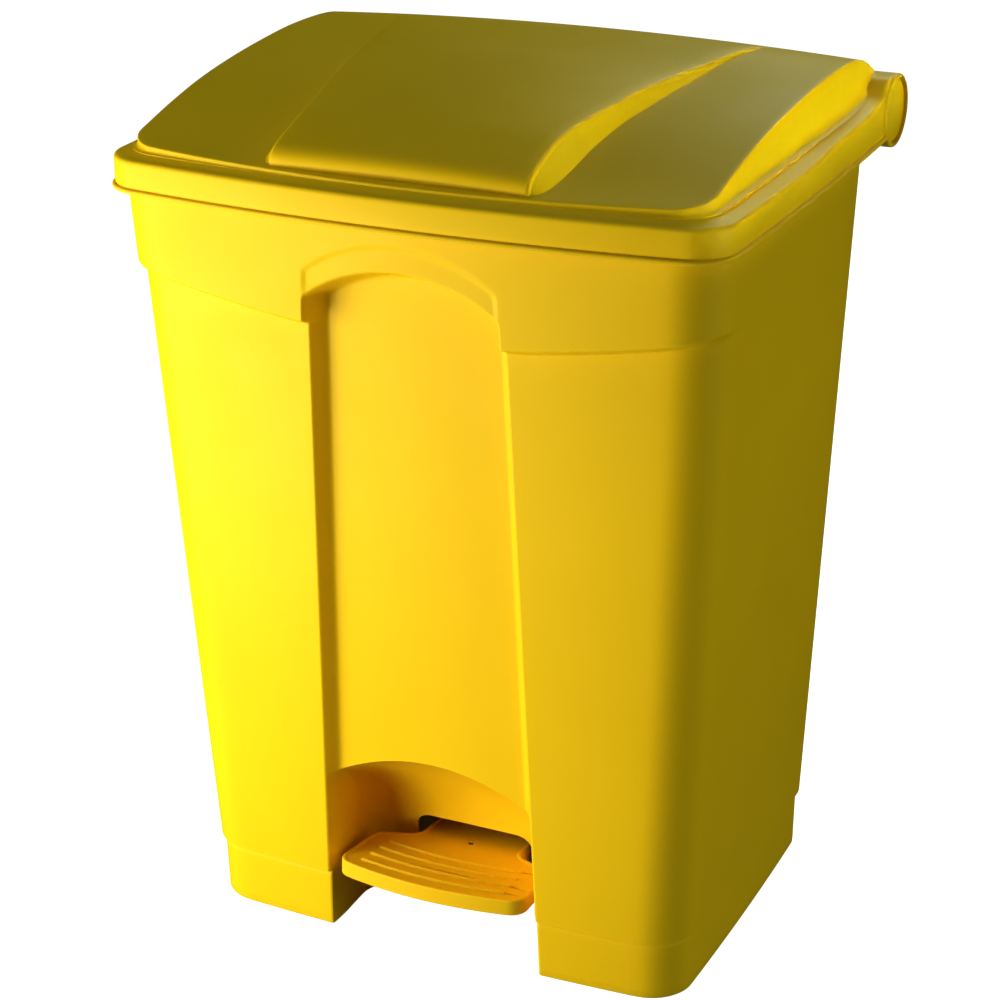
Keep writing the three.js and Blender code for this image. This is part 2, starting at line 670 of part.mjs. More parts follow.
function pedalLever() {
  const web = TREAD_TOP - TREAD_SKIN - GAP;
  const side = (drop) => shapeOf([
    [CHANNEL_FRONT, web - drop], [-38, web - drop], [-28, CHANNEL_TOP - drop], [CHANNEL_END, CHANNEL_TOP - drop],
    [CHANNEL_END, -9], [-28, -9], [-40, -6.5], [CHANNEL_FRONT, -6.5],
  ].reverse());
  const within = CHANNEL_HALF - CHANNEL_WALL;
  const outer = extrudeX(side(0), -CHANNEL_HALF, CHANNEL_HALF);
  const hollow = extrudeX(side(CHANNEL_WALL), -within, within)
    .add(box(-within, within, CHANNEL_FRONT - 1, CHANNEL_END + 1, -20, -4));
  const across = CHANNEL_HALF + 10;
  const rodWay = box(-7, 7, LEVER_REACH - 12, CHANNEL_END + 1, 0, CHANNEL_TOP + 3);
  return subtractAll(outer, [
    hollow,
    rodWay,
    cylinderX(AXLE_RADIUS + RUNNING_PLAY, -across, across, 0, 0),
    cylinderX(PIN_RADIUS + GAP, -across, across, LEVER_REACH, 0, 20),
    ...LEVER_SCREW_Y.map((y) => cylinderZ(SCREW_HOLE_RADIUS, -2, 8, 0, y)),
  ]);
}

// ---- lift rod ----

// A round-ended slot for a pin, running along Y between two centres.
function pinSlot(y0, y1, z) {
  const slot = new THREE.Shape();
  const radius = PIN_RADIUS + PIN_PLAY;
  slot.absarc(y0, z, radius, Math.PI / 2, Math.PI * 1.5);
  slot.absarc(y1, z, radius, -Math.PI / 2, Math.PI / 2);
  return extrudeX(slot, -ROD_PLATE_HALF - 1, ROD_PLATE_HALF + 1);
}

// The slot is as long as the lift pin's sideways swing.
function rodHead(z) {
  const far = restPin().y;
  const near = far - LIFT_PIN_ARM * (1 - Math.cos(LID_OPEN / 2));
  return box(-ROD_PLATE_HALF, ROD_PLATE_HALF, near - 8, far + 8, z - 10, z + 8)
    .add(cylinderZ(ROD_SOCKET_RADIUS, z - 23, z - 9.5, 0, ROD_Y, 20))
    .subtract(pinSlot(near, far, z))
    .subtract(cylinderZ(ROD_RADIUS + GAP, z - 24, z - 12, 0, ROD_Y, 20));
}

function rodFoot(z) {
  return box(-ROD_PLATE_HALF, ROD_PLATE_HALF, ROD_Y - 9, ROD_Y + 9, z - 8, z + 8)
    .add(cylinderZ(ROD_SOCKET_RADIUS, z + 7, z + 22, 0, ROD_Y, 20))
    .subtract(pinSlot(ROD_Y - 1.5, ROD_Y + 0.5, z))
    .subtract(cylinderZ(ROD_RADIUS + GAP, z + 11, z + 23, 0, ROD_Y, 20));
}

// ---- small pieces, each with the screws and clips that hold it ----

function sideName(side) {
  return side > 0 ? 'right' : 'left';
}

// A shallow cup turned about the hinge axis, its floor facing outwards.
function hingeCap(side) {
  const r = CAP_RADIUS;
  const profile = [
    [0, -3.6], [r - 2.6, -3.6], [r - 2.6, -7], [r, -7], [r, -1.5], [r - 2.2, 0], [0, 0],
  ];
  const mesh = place(bin, `hinge_cap_${sideName(side)}`, turned(profile, 28), 'plastic');
  mesh.rotation.y = side * Math.PI / 2;
  mesh.position.set(side * (BARREL_HALF - CAP_SINK), HINGE_Y, HINGE_Z);
}

function axleBearing(side) {
  const x = side * BEARING_X;
  const x0 = x - BEARING_HALF;
  const x1 = x + BEARING_HALF;
  const solid = box(x0, x1, PIVOT_Y - 24, PIVOT_Y + 24, BEARING_PLATE, BOSS_BOTTOM - GAP)
    .add(box(x0, x1, PIVOT_Y - 9, PIVOT_Y + 9, PIVOT_Z, BEARING_PLATE + 1))
    .add(cylinderX(9, x0, x1, PIVOT_Y, PIVOT_Z))
    .subtract(cylinderX(AXLE_RADIUS + RUNNING_PLAY, x0 - 1, x1 + 1, PIVOT_Y, PIVOT_Z));
  const name = sideName(side);
  const drilled = subtractAll(solid, BEARING_SCREW_Y.map((y) => (
    cylinderZ(SCREW_HOLE_RADIUS, BEARING_PLATE - 6, BOSS_BOTTOM + 2, x, y))));
  place(bin, `axle_bearing_${name}`, drilled, 'dark_plastic');
  BEARING_SCREW_Y.forEach((y, i) => {
    const fastener = screw(SCREW_RADIUS, 12, SCREW_HEAD_RADIUS);
    const mesh = place(bin, `bearing_screw_${name}_${i ? 'rear' : 'front'}`, fastener, 'steel');
    mesh.position.set(x, y, BEARING_PLATE - GAP);
  });
  const clip = place(bin, `axle_clip_${name}`, pushOnClip(AXLE_RADIUS + GAP, 9, 1.2), 'steel');
  clip.position.set(side * (BEARING_X + 9.2), PIVOT_Y, PIVOT_Z);
}

function rodGuide(name, z) {
  const face = GUIDE_BOSS_REAR + GAP;
  const z0 = z - GUIDE_HALF;
  const z1 = z + GUIDE_HALF;
  const solid = box(-22, 22, face, face + GUIDE_PLATE, z0, z1)
    .add(box(-7, 7, face, ROD_Y, z0, z1))
    .add(cylinderZ(7, z0, z1, 0, ROD_Y, 24));
  const drilled = subtractAll(solid, [
    cylinderZ(ROD_RADIUS + RUNNING_PLAY, z0 - 1, z1 + 1, 0, ROD_Y, 20),
    cylinderY(SCREW_HOLE_RADIUS, face - 1, face + GUIDE_PLATE + 1, GUIDE_SCREW_X, z),
    cylinderY(SCREW_HOLE_RADIUS, face - 1, face + GUIDE_PLATE + 1, -GUIDE_SCREW_X, z),
  ]);
  place(bin, `rod_guide_${name}`, drilled, 'dark_plastic');
  for (const side of [-1, 1]) {
    const fastener = screw(SCREW_RADIUS, 11, SCREW_HEAD_RADIUS);
    const mesh = place(bin, `guide_screw_${name}_${sideName(side)}`, fastener, 'steel');
    mesh.rotation.x = Math.PI / 2;
    mesh.position.set(side * GUIDE_SCREW_X, face + GUIDE_PLATE + GAP, z);
  }
}

// ---- assembly ----

function rodX(radius, half, y, z, segments = 20) {
  return cylinderX(radius, -half, half, y, z, segments);
}

place(bin, 'tub', tub(), 'plastic');
place(bin, 'hinge_rod', rodX(HINGE_ROD_RADIUS, HINGE_ROD_HALF, HINGE_Y, HINGE_Z), 'steel');
place(bin, 'pedal_axle', rodX(AXLE_RADIUS, AXLE_HALF, PIVOT_Y, PIVOT_Z, 24), 'steel');
axleBearing(-1);
axleBearing(1);
rodGuide('upper', GUIDE_HEIGHTS.upper);
rodGuide('lower', GUIDE_HEIGHTS.lower);

const liftPin = restPin();
place(bin, 'lid', lid(), 'plastic');
place(bin, 'lid_lift_pin', rodX(PIN_RADIUS, 11.5, liftPin.y, liftPin.z), 'steel');
for (const side of [-1, 1]) {
  hingeCap(side);
  const clip = place(bin, `lift_pin_clip_${sideName(side)}`, pushOnClip(PIN_RADIUS + GAP, 6, 1), 'steel');
  clip.position.set(side * (CHEEK_FAR + 1.2), liftPin.y, liftPin.z);
  const button = turned([[0, -4.8], [6, -4.8], [7, -3.8], [7, 0], [0, 0]], 20);
  const buffer = place(bin, `lid_buffer_${sideName(side)}`, button, 'rubber');
  buffer.position.set(side * 150, -187, 636);
}

const pedalGroup = new THREE.Group();
pedalGroup.position.set(0, PIVOT_Y, PIVOT_Z);
pedalGroup.rotation.x = PEDAL_TILT;
bin.add(pedalGroup);
place(pedalGroup, 'pedal', pedalMoulding(), 'plastic');
place(pedalGroup, 'pedal_lever', pedalLever(), 'steel');
place(pedalGroup, 'lever_pin', rodX(PIN_RADIUS, CHANNEL_HALF + 4, LEVER_REACH, 0), 'steel');
LEVER_SCREW_Y.forEach((y, i) => {
  const fastener = screw(SCREW_RADIUS, 5, SCREW_HEAD_RADIUS);
  const mesh = place(pedalGroup, `lever_screw_${i ? 'rear' : 'front'}`, fastener, 'steel');
  mesh.position.set(0, y, 0.5 - GAP);
});
for (const side of [-1, 1]) {
  const clip = place(pedalGroup, `lever_pin_clip_${sideName(side)}`, pushOnClip(PIN_RADIUS + GAP, 6, 1), 'steel');
  clip.position.set(side * (CHANNEL_HALF + 1.2), LEVER_REACH, 0);
}

const footZ = PIVOT_Z + LEVER_REACH * Math.sin(PEDAL_TILT);
const headZ = liftPin.z;
place(bin, 'rod_head', rodHead(headZ), 'dark_plastic');
place(bin, 'rod_foot', rodFoot(footZ), 'dark_plastic');
place(bin, 'lift_rod', cylinderZ(ROD_RADIUS, footZ + 11.5, headZ - 12.5, 0, ROD_Y, 20), 'steel');

export default bin;
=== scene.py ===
"""Pedal bin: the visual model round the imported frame, with its materials, light and camera.

Shapes are worked out in millimetres in the frame's own axes and scaled to metres when a mesh is made.
"""

import json
import math

import bmesh
import bpy
import numpy as np
from mathutils import Matrix, Vector


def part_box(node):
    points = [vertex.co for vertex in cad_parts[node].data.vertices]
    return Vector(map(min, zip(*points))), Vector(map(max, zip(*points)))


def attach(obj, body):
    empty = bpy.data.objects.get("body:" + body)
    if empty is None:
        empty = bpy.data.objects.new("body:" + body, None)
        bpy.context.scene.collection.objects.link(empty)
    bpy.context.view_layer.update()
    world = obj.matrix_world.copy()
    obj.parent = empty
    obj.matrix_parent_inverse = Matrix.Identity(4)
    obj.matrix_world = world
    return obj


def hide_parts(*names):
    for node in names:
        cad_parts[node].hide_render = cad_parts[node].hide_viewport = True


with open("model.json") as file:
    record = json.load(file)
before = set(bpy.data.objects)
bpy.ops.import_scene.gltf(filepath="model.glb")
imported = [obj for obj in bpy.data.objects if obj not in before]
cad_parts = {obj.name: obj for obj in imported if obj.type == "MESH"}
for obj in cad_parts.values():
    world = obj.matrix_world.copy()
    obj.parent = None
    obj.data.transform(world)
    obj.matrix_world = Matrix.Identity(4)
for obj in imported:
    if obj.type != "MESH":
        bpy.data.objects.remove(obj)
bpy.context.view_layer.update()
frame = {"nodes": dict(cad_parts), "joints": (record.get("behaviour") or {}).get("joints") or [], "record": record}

MM = 0.001
JOINTS = {joint["name"]: joint for joint in frame["joints"]}
_, HINGE_Y, HINGE_Z = (v / MM for v in JOINTS["lid_hinge"]["pos_m"])
_, PIVOT_Y, PIVOT_Z = (v / MM for v in JOINTS["pedal_pivot"]["pos_m"])

WALL = 3.5
LID_WALL = 3.0
ON_AXIS = 0.02
SCREW_HOLE_RADIUS = 2.35
ROD_BORE_RADIUS = 4.35
PIN_BORE_RADIUS = 3.3

STEP_HEIGHT = 51.2
STEP_DEPTH = 3.0
FOOT_TAPER = 1.1
STEP_GROOVE = 0.9
TUB_HEIGHT = 630.0
NECK_Z = 616.0
NECK_INSET = 3.0
TUB_BASE_HALF = 213.0
SIDE_LEAN = 0.0524
TUB_BASE_FRONT = -168.0
FRONT_LEAN = 0.0330
TUB_REAR = 140.0
TUB_FRONT_RADIUS = 36.0
TUB_REAR_RADIUS = 30.0
TUB_FRONT_BOW = 7.6
TUB_SIDE_BOW = 2.5
FLOOR_BOTTOM = 80.0
FLOOR_TOP = 84.0

BAND_DEPTH = 10.0
BAND_RADIUS = 36.0
BAND_LOW = 528.0
BAND_RISE = 26.0
BAND_RISE_POWER = 1.3
BAND_RISE_RUN = 164.0
BAND_STEP = 3.4

RECESS_HALF_BASE = 93.5
RECESS_HALF_TOP = 79.3
RECESS_SPRING = 535.0
ARCH_SPRING = 551.0
ARCH_RISE = 27.5
ARCH_BLEND = 3.0
RECESS_DRAFT = 7.5
PANEL_DEPTH_TOP = 14.0
PANEL_DEPTH_BASE = 12.0
PANEL_BASE_HEIGHT = 150.0
ARCH_BORDER = 21.0
ARCH_BORDER_DROP = 1.3

NICHE_TOP = 167.0
NICHE_ARCH = 22.5
NICHE_ARCH_HALF = 83.0
NICHE_REAR = -84.0
NICHE_RADIUS = 26.0
NICHE_INSET = 1.5

BARREL_RADIUS = 29.0
BARREL_HALF = 247.5
LUG_X = 150.0
BARREL_WEB_X = (142, 158, 236)

BEARING_SCREW_X = 55.0
BEARING_SCREW_Y = (-11.0, 25.0)
BEARING_BOSS_END = 70.3
GUIDE_SCREW_X = 15.0
GUIDE_SCREW_Z = (170.0, 470.0)
FOOT_PAD_X = 190.0
FOOT_PAD_SPANS = ((-132, -98), (84, 124))


# ---- numbers ----

def smoothstep(low, high, value):
    t = np.clip((np.asarray(value, float) - low) / (high - low), 0, 1)
    return t * t * (3 - 2 * t)


def hinge_ramp(t, radius):
    """max(t, 0) with its corner rounded over +-radius."""
    t = np.asarray(t, float)
    return np.where(t < -radius, 0, np.where(t > radius, t, (t + radius) ** 2 / (4 * radius)))


def ramp(t, width, start_radius, end_radius):
    """0 to 1 over width, with both corners rounded."""
    return (hinge_ramp(t, start_radius) - hinge_ramp(np.asarray(t) - width, end_radius)) / width


def mix(a, b, t):
    return a + (b - a) * t


def spline(points, steps):
    """A Catmull-Rom curve through the points."""
    p = np.array([points[0], *points, points[-1]], float)
    out = []
    for i in range(1, len(p) - 2):
        for t in np.arange(steps) / steps:
            a, b, c, d = p[i - 1:i + 3]
            out.append(0.5 * (2 * b + (c - a) * t + (2 * a - 5 * b + 4 * c - d) * t * t
                              + (3 * b - a - 3 * c + d) * t ** 3))
    out.append(p[-2])
    return np.array(out)


# ---- meshes ----

def make(name, verts, faces):
    mesh = bpy.data.meshes.new(name)
    mesh.from_pydata((np.asarray(verts, float) * MM).tolist(), [], faces)
    mesh.update()
    obj = bpy.data.objects.new(name, mesh)
    bpy.context.scene.collection.objects.link(obj)
    return obj


def ring_stack(name, rings):
    """Closed solid from rings of equal length, each running anticlockwise seen from the last ring."""
    rings = np.asarray(rings, float)
    levels, count = rings.shape[:2]
    a = np.arange(count)
    b = (a + 1) % count
    faces = []
    for level in range(levels - 1):
        low = level * count
        faces += np.stack([low + a, low + b, low + b + count, low + a + count], 1).tolist()
    faces.append(a[::-1].tolist())
    faces.append((a + (levels - 1) * count).tolist())
    return make(name, rings.reshape(-1, 3), faces)


def lathe(name, profile, axis, at, segments):
    """Turned solid from an (r, h) profile with h rising. Its ends on the axis keep a pinhole radius."""
    rings = []
    angle = np.arange(segments) * 2 * math.pi / segments
    for r, h in profile:
        u, v = max(r, ON_AXIS) * np.cos(angle), max(r, ON_AXIS) * np.sin(angle)
        level = np.full(segments, float(h))
        rings.append(np.stack({"z": [u, v, level], "x": [level, u, v], "y": [v, level, u]}[axis], 1) + at)
    return ring_stack(name, rings)


def slab(name, outline, low, high, axis, bevel=0.0, segments=3):
    """Extruded outline: (y, z) along x, (z, x) along y or (x, y) along z, with bevelled edges."""
    pts = np.asarray(outline, float)
    area = np.sum(pts[:, 0] * np.roll(pts[:, 1], -1) - np.roll(pts[:, 0], -1) * pts[:, 1])
    if area < 0:
        pts = pts[::-1]
    rings = []
    for h in (low, high):
        level = np.full(len(pts), float(h))
        u, v = pts[:, 0], pts[:, 1]
        rings.append(np.stack({"x": [level, u, v], "y": [v, level, u], "z": [u, v, level]}[axis], 1))
    obj = ring_stack(name, rings)
    if bevel:
        bevel_edges(obj, bevel, segments)
    return obj


def bevel_edges(obj, width, segments):
    """Rounds every edge that turns by more than 30 degrees."""
    bm = bmesh.new()
    bm.from_mesh(obj.data)
    edges = [e for e in bm.edges if len(e.link_faces) == 2 and e.calc_face_angle(0) > math.radians(30)]
    bmesh.ops.bevel(bm, geom=edges, offset=width * MM, offset_type="OFFSET", segments=segments,
                    profile=0.5, affect="EDGES", clamp_overlap=True)
    bm.to_mesh(obj.data)
    bm.free()


def combine(target, tools, operation):
    """Joins or cuts with each tool, and removes the tools."""
    for tool in tools:
        modifier = target.modifiers.new("solid", "BOOLEAN")
        modifier.operation = operation
        modifier.solver = "MANIFOLD"
        modifier.object = tool
    bpy.context.view_layer.update()
    result = bpy.data.meshes.new_from_object(target.evaluated_get(bpy.context.evaluated_depsgraph_get()))
    target.modifiers.clear()
    old = target.data
    target.data = result
    result.name = target.name
    bpy.data.meshes.remove(old)
    for tool in tools:
        bpy.data.objects.remove(tool)
    return target


def join(target, *tools):
    return combine(target, tools, "UNION")


def cut(target, *tools):
    return combine(target, tools, "DIFFERENCE")


def clean(obj):
    """Welds the slivers that a boolean leaves, and drops loose points."""
    bm = bmesh.new()
    bm.from_mesh(obj.data)
    bmesh.ops.remove_doubles(bm, verts=bm.verts, dist=0.00001)
    bmesh.ops.dissolve_degenerate(bm, dist=0.00001, edges=bm.edges)
    loose = [v for v in bm.verts if not v.link_faces]
    bmesh.ops.delete(bm, geom=loose, context="VERTS")
    bm.to_mesh(obj.data)
    bm.free()


def box_solid(name, x0, x1, y0, y1, z0, z1):
    return slab(name, [(y0, z0), (y1, z0), (y1, z1), (y0, z1)], x0, x1, "x")


def bore(name, radius, low, high, axis, at, segments):
    """A plain round cutter or disc."""
    return lathe(name, [(0, low), (radius, low), (radius, high), (0, high)], axis, at, segments)


# ---- plan outlines: rounded rectangles whose front and sides bow outwards ----

def bow(x, y, half, front, rear, front_bow, side_bow):
    """Bends a rectangle's front and sides, so that both stand furthest out in their middles."""
    middle = (front + rear) / 2
    along = (y - middle) / ((rear - front) / 2)
    return x * (1 - side_bow / half * along ** 2), y + front_bow * (x / half) ** 2 * (1 - along) / 2


def mirror_ring(half_ring):
    """Closes a half ring, from the front centre to the rear centre, with its mirror image."""
    other = half_ring[1:-1][::-1].copy()
    other[:, 0] *= -1
    return np.concatenate([half_ring, other])


def plan_half(half, front, rear, front_radius, rear_radius, front_bow, side_bow, counts):
    """The x >= 0 half of a plan outline. counts: front, front corner, side, rear corner, rear."""
    n_front, n_corner, n_side, n_rear_corner, n_rear = counts
    x = [np.linspace(0, half - front_radius, n_front, endpoint=False)]
    y = [np.full(n_front, front)]
    turn = np.linspace(0, math.pi / 2, n_corner)
    x.append(half - front_radius + front_radius * np.sin(turn))
    y.append(front + front_radius - front_radius * np.cos(turn))
    y_side = np.linspace(front + front_radius, rear - rear_radius, n_side + 1)[1:]
    x.append(np.full(n_side, half))
    y.append(y_side)
    turn = np.linspace(0, math.pi / 2, n_rear_corner + 1)[1:]
    x.append(half - rear_radius + rear_radius * np.cos(turn))
    y.append(rear - rear_radius + rear_radius * np.sin(turn))
    x.append(np.linspace(half - rear_radius, 0, n_rear + 1)[1:])
    y.append(np.full(n_rear, rear))
    return bow(np.concatenate(x), np.concatenate(y), half, front, rear, front_bow, side_bow)


# ---- tub ----

def tub_half(z):
    """Half width of the tub at a height."""
    return TUB_BASE_HALF + SIDE_LEAN * (np.maximum(z, STEP_HEIGHT) - STEP_HEIGHT)


def tub_front(z):
    """Where the front wall stands at a height."""
    return TUB_BASE_FRONT - FRONT_LEAN * (np.maximum(z, STEP_HEIGHT) - STEP_HEIGHT)


def foot_inset(z):
    """The foot stands in from the wall, below the step."""
    groove = STEP_GROOVE * smoothstep(STEP_HEIGHT - 4, STEP_HEIGHT - 1.6, z)
    inset = STEP_DEPTH + groove + FOOT_TAPER * (1 - z / STEP_HEIGHT)
    return inset * (1 - ramp(z - STEP_HEIGHT + 0.6, 0.8, 0.25, 0.35))


def band_edge(x):
    """Height of the band's lower edge, which rises from the recess to the corner."""
    out = np.maximum(0, (np.abs(x) - RECESS_HALF_TOP) / BAND_RISE_RUN)
    return BAND_LOW + BAND_RISE * out ** BAND_RISE_POWER


def band_step(up):
    """0 on the wall and 1 on the band, from the height over the band's lower edge."""
    return ramp(up, BAND_STEP, 1.2, 1.6)


def niche_arch(x):
    """How far the foot space's arch has come down from its middle."""
    return NICHE_ARCH * np.minimum(1, np.abs(x) / NICHE_ARCH_HALF) ** 2


def recess_half(z):
    """Half width of the recess, which narrows upwards."""
    return RECESS_HALF_BASE + (RECESS_HALF_TOP - RECESS_HALF_BASE) * z / RECESS_SPRING


def panel_y(z):
    """Where the flat panel at the back of the recess stands."""
    up = (z - PANEL_BASE_HEIGHT) / (RECESS_SPRING - PANEL_BASE_HEIGHT)
    return tub_front(z) + mix(PANEL_DEPTH_BASE, PANEL_DEPTH_TOP, up)


def arch_distance(x, z, grow, lift=0.0):
    """How far a point is inside the recess: straight sides under a flat arc, the arc raised by lift."""
    x = np.abs(x)
    radius = (RECESS_HALF_TOP ** 2 + ARCH_RISE ** 2) / (2 * ARCH_RISE)
    centre = ARCH_SPRING + lift + ARCH_RISE - radius
    side = recess_half(z) + grow - x
    over = radius + grow - np.hypot(x, np.maximum(z - centre, 0))
    return (side + over - np.sqrt((side - over) ** 2 + ARCH_BLEND)) / 2


# The front's columns, from the centre line outwards: first even ones, then ones at set distances from the
# side of the recess. In the foot space the even ones make the flat back and the quarter round.
FLAT_COLUMNS = 34
ARC_COLUMNS = 16
PANEL_COLUMNS = 46
EDGE_OFFSETS = np.array([12, 11, 10, 9.2, 8.5, 8, 7.5, 7, 6, 5, 4, 3, 2, 1.5, 1, 0.5,
                         0, -0.5, -1, -1.5, -2, -3])
EDGE_REACH = EDGE_OFFSETS[0]
FRONT_COLUMNS = PANEL_COLUMNS + len(EDGE_OFFSETS)


def columns(step):
    """Which of the front columns a mesh uses: every one for step 1, fewer for a hollow."""
    keep = np.arange(0, FRONT_COLUMNS, step)
    if keep[-1] != FRONT_COLUMNS - 1:
        keep = np.append(keep, FRONT_COLUMNS - 1)
    return keep


def foot_space(x, y, z, grow):
    """Draws the front's columns in: a flat back, a quarter round, and the side out to the wall."""
    index = np.arange(FRONT_COLUMNS)
    side_first = FLAT_COLUMNS + ARC_COLUMNS
    side_last = PANEL_COLUMNS + list(EDGE_OFFSETS).index(1)
    half = recess_half(z) - NICHE_INSET + grow
    radius = NICHE_RADIUS + grow
    flat = np.minimum(index / FLAT_COLUMNS, 1)
    quarter = np.clip((index - FLAT_COLUMNS) / ARC_COLUMNS, 0, 1) * math.pi / 2
    side = np.clip((index - side_first) / (side_last - side_first), 0, 1)
    niche_x = flat * (half - radius) + radius * np.sin(quarter)
    niche_y = NICHE_REAR + grow - radius + radius * np.cos(quarter)
    niche_x = mix(niche_x, x, side ** 3)
    niche_y = mix(niche_y, y, side)
    crease = NICHE_TOP + grow - niche_arch(x)
    depth = 1 - np.clip(z / crease, 0, 1) ** 4
    inside = index <= side_last
    return np.where(inside, mix(x, niche_x, depth), x), np.where(inside, mix(y, niche_y, depth), y)


def tub_outline(level, inset, band_at, counts):
    """The tub's corner, side and rear at one level, where band_at is 0 on the wall and 1 on the band."""
    shapes = []
    for depth_out, corner in ((0.0, TUB_FRONT_RADIUS), (BAND_DEPTH, BAND_RADIUS)):
        x, y = plan_half(tub_half(level) - inset, tub_front(level) - depth_out + inset, TUB_REAR - inset,
                         max(corner - inset, 2), max(TUB_REAR_RADIUS - inset, 2),
                         TUB_FRONT_BOW, TUB_SIDE_BOW, counts)
        shapes.append(np.stack([x, y, np.full(len(x), level)], 1)[1:])
    return mix(shapes[0], shapes[1], band_at)


def tub_row(z0, grow, extra, step=1):
    """One ring of the tub's skin (grow 0) or of a hollow (grow WALL), at the nominal height z0.

    Near the foot space and the band the ring bends to follow their edges. extra draws the whole ring in.
    """
    n_wall, n_corner, n_side, n_rear_corner, n_rear = (18, 14, 12, 10, 8) if step == 1 else (8, 8, 6, 6, 4)
    niche_bump = smoothstep(60, NICHE_TOP - 10, z0) * (1 - smoothstep(NICHE_TOP + 5, 250, z0))
    band_bump = smoothstep(470, BAND_LOW - 8, z0) * (1 - smoothstep(BAND_LOW + 14, 612, z0))

    def height(x):
        return z0 - niche_arch(x) * niche_bump + (band_edge(x) - BAND_LOW) * band_bump

    # the recess narrows upwards, so a column's place and its height are found in two rounds
    fraction = np.arange(PANEL_COLUMNS) / PANEL_COLUMNS
    z = np.full(FRONT_COLUMNS, float(z0))
    for _ in range(2):
        half = recess_half(np.minimum(z, RECESS_SPRING)) + grow
        panel_x = fraction * (half[:PANEL_COLUMNS] - EDGE_REACH)
        x = np.concatenate([panel_x, half[PANEL_COLUMNS:] - EDGE_OFFSETS])
        z = height(x)

    def skin(x, z):
        """The wall and the band across the front, before the recess."""
        inset = grow + extra + foot_inset(z)
        out = TUB_FRONT_BOW * (x / tub_half(z)) ** 2
        band = band_step(z - band_edge(x) - grow)
        return tub_front(z) + inset + out - BAND_DEPTH * band, band

    y_skin, band = skin(x, z)
    border = arch_distance(x, z, grow + 0.7, ARCH_BORDER)
    soft = smoothstep(0, 5, border) * band * smoothstep(ARCH_SPRING - 8, ARCH_SPRING + 14, z)
    y_skin = y_skin + ARCH_BORDER_DROP * soft
    sunk = ramp(arch_distance(x, z, grow), RECESS_DRAFT, 1.1, 2.4)
    y = mix(y_skin, panel_y(z) + grow, sunk)

    x, y = foot_space(x, y, z, grow)
    keep = columns(step)
    x, y, z = x[keep], y[keep], z[keep]

    # the corner turns from the level where the front wall ends to the side's level
    band_at = float(band_step(z0 - BAND_LOW - grow))
    counts = (1, n_corner, n_side, n_rear_corner, n_rear)

    def outline(level):
        return tub_outline(level, grow + extra + foot_inset(level), band_at, counts)

    near = outline(height(tub_half(z0) - mix(TUB_FRONT_RADIUS, BAND_RADIUS, band_at)))
    far = outline(height(tub_half(z0) - 4))
    turn = smoothstep(-0.5, 1, np.linspace(0, 1, n_corner))
    share = np.ones(len(near))
    share[:n_corner] = (turn - turn[0]) / (1 - turn[0])
    outer = mix(near, far, share[:, None])

    # the wall between the recess and the corner
    wall_x = mix(x[-1], outer[0, 0], np.arange(1, n_wall + 1) / (n_wall + 1))
    wall_z = height(wall_x)
    wall_y, _ = skin(wall_x, wall_z)
    x = np.concatenate([x, wall_x, outer[:, 0]])
    y = np.concatenate([y, wall_y, outer[:, 1]])
    z = np.concatenate([z, wall_z, outer[:, 2]])
    return mirror_ring(np.stack([x, y, z], 1))


def tub_skin():
    """The rows lie closest where the skin turns: the foot step, both arches, the band's edge and the neck."""
    foot_step = (8, 16, 26, 36, 44, 46.8, 48, 49.2, 50.2, 50.5, 50.8, 51.1, 51.4, 51.7, 52.6, 56, 62, 70, 78)
    foot_arch = (161.5, 164.2, 165.8, 166.5, 167, 167.5, 168.4, 170, 173, 178, 185, 193, 205, 220)
    below_band = (470, 484, 496, 506, 514, 520, 524, 526.5, 528.5)
    band = (*np.arange(529.4, 537.5, 0.7), *np.arange(538.5, 582, 1.25), *np.arange(583, 606, 2))
    heights = (*foot_step, *np.arange(85, 160, 3.2), *foot_arch, *np.arange(240, 460, 18), *below_band, *band,
               608, 611, 613, 614.8)
    rows = [(0, 1.3), (0.5, 0.4), (1.4, 0), *((z, 0) for z in heights)]
    rows += [(NECK_Z - 0.5, 0.2), (NECK_Z - 0.1, 0.7), (NECK_Z, NECK_INSET), (NECK_Z + 1, NECK_INSET)]
    rows += [(TUB_HEIGHT - 1.4, NECK_INSET), (TUB_HEIGHT - 0.5, NECK_INSET + 0.3),
             (TUB_HEIGHT, NECK_INSET + 1.1)]
    return ring_stack("tub_skin", [tub_row(z, 0, extra) for z, extra in rows])


def tub_interior():
    """The hollow over the floor, wide open at the top."""
    heights = (*np.arange(98, 162, 7), 165, 167, 170.5, 174, 181, 195, 220, *np.arange(250, 500, 35),
               505, 520, *np.arange(529, 545, 2), *np.arange(546, 592, 3.5))
    rows = [(FLOOR_TOP, 7), (FLOOR_TOP + 0.8, 4), (FLOOR_TOP + 3, 1.4), (FLOOR_TOP + 7, 0)]
    rows += [(z, 0) for z in heights]
    rows += [(603, 0), (612, NECK_INSET), (628.8, NECK_INSET), (629.6, NECK_INSET - 0.3),
             (631.5, NECK_INSET - 1.2)]
    return ring_stack("tub_interior", [tub_row(z, WALL, extra, 2) for z, extra in rows])


def tub_underside():
    """The hollow under the floor, open to the ground."""
    rows = [(-2, 0), (20, 0), (47, 0), (50, 0), (51.5, 0), (54, 0), (62, 0), (70, 0), (76, 0.4),
            (79, 2), (FLOOR_BOTTOM, 5)]
    return ring_stack("tub_underside", [tub_row(z, WALL, extra, 2) for z, extra in rows])


def rounded_slot(half, top, low, radius):
    """A (z, x) outline with its two upper corners rounded."""
    turn = np.linspace(0, math.pi / 2, 9)
    points = [(low, half)]
    points += [(top - radius + radius * math.sin(a), half - radius + radius * math.cos(a)) for a in turn]
    points += [(top - radius + radius * math.cos(a), radius - half - radius * math.sin(a)) for a in turn]
    points.append((low, -half))
    return points


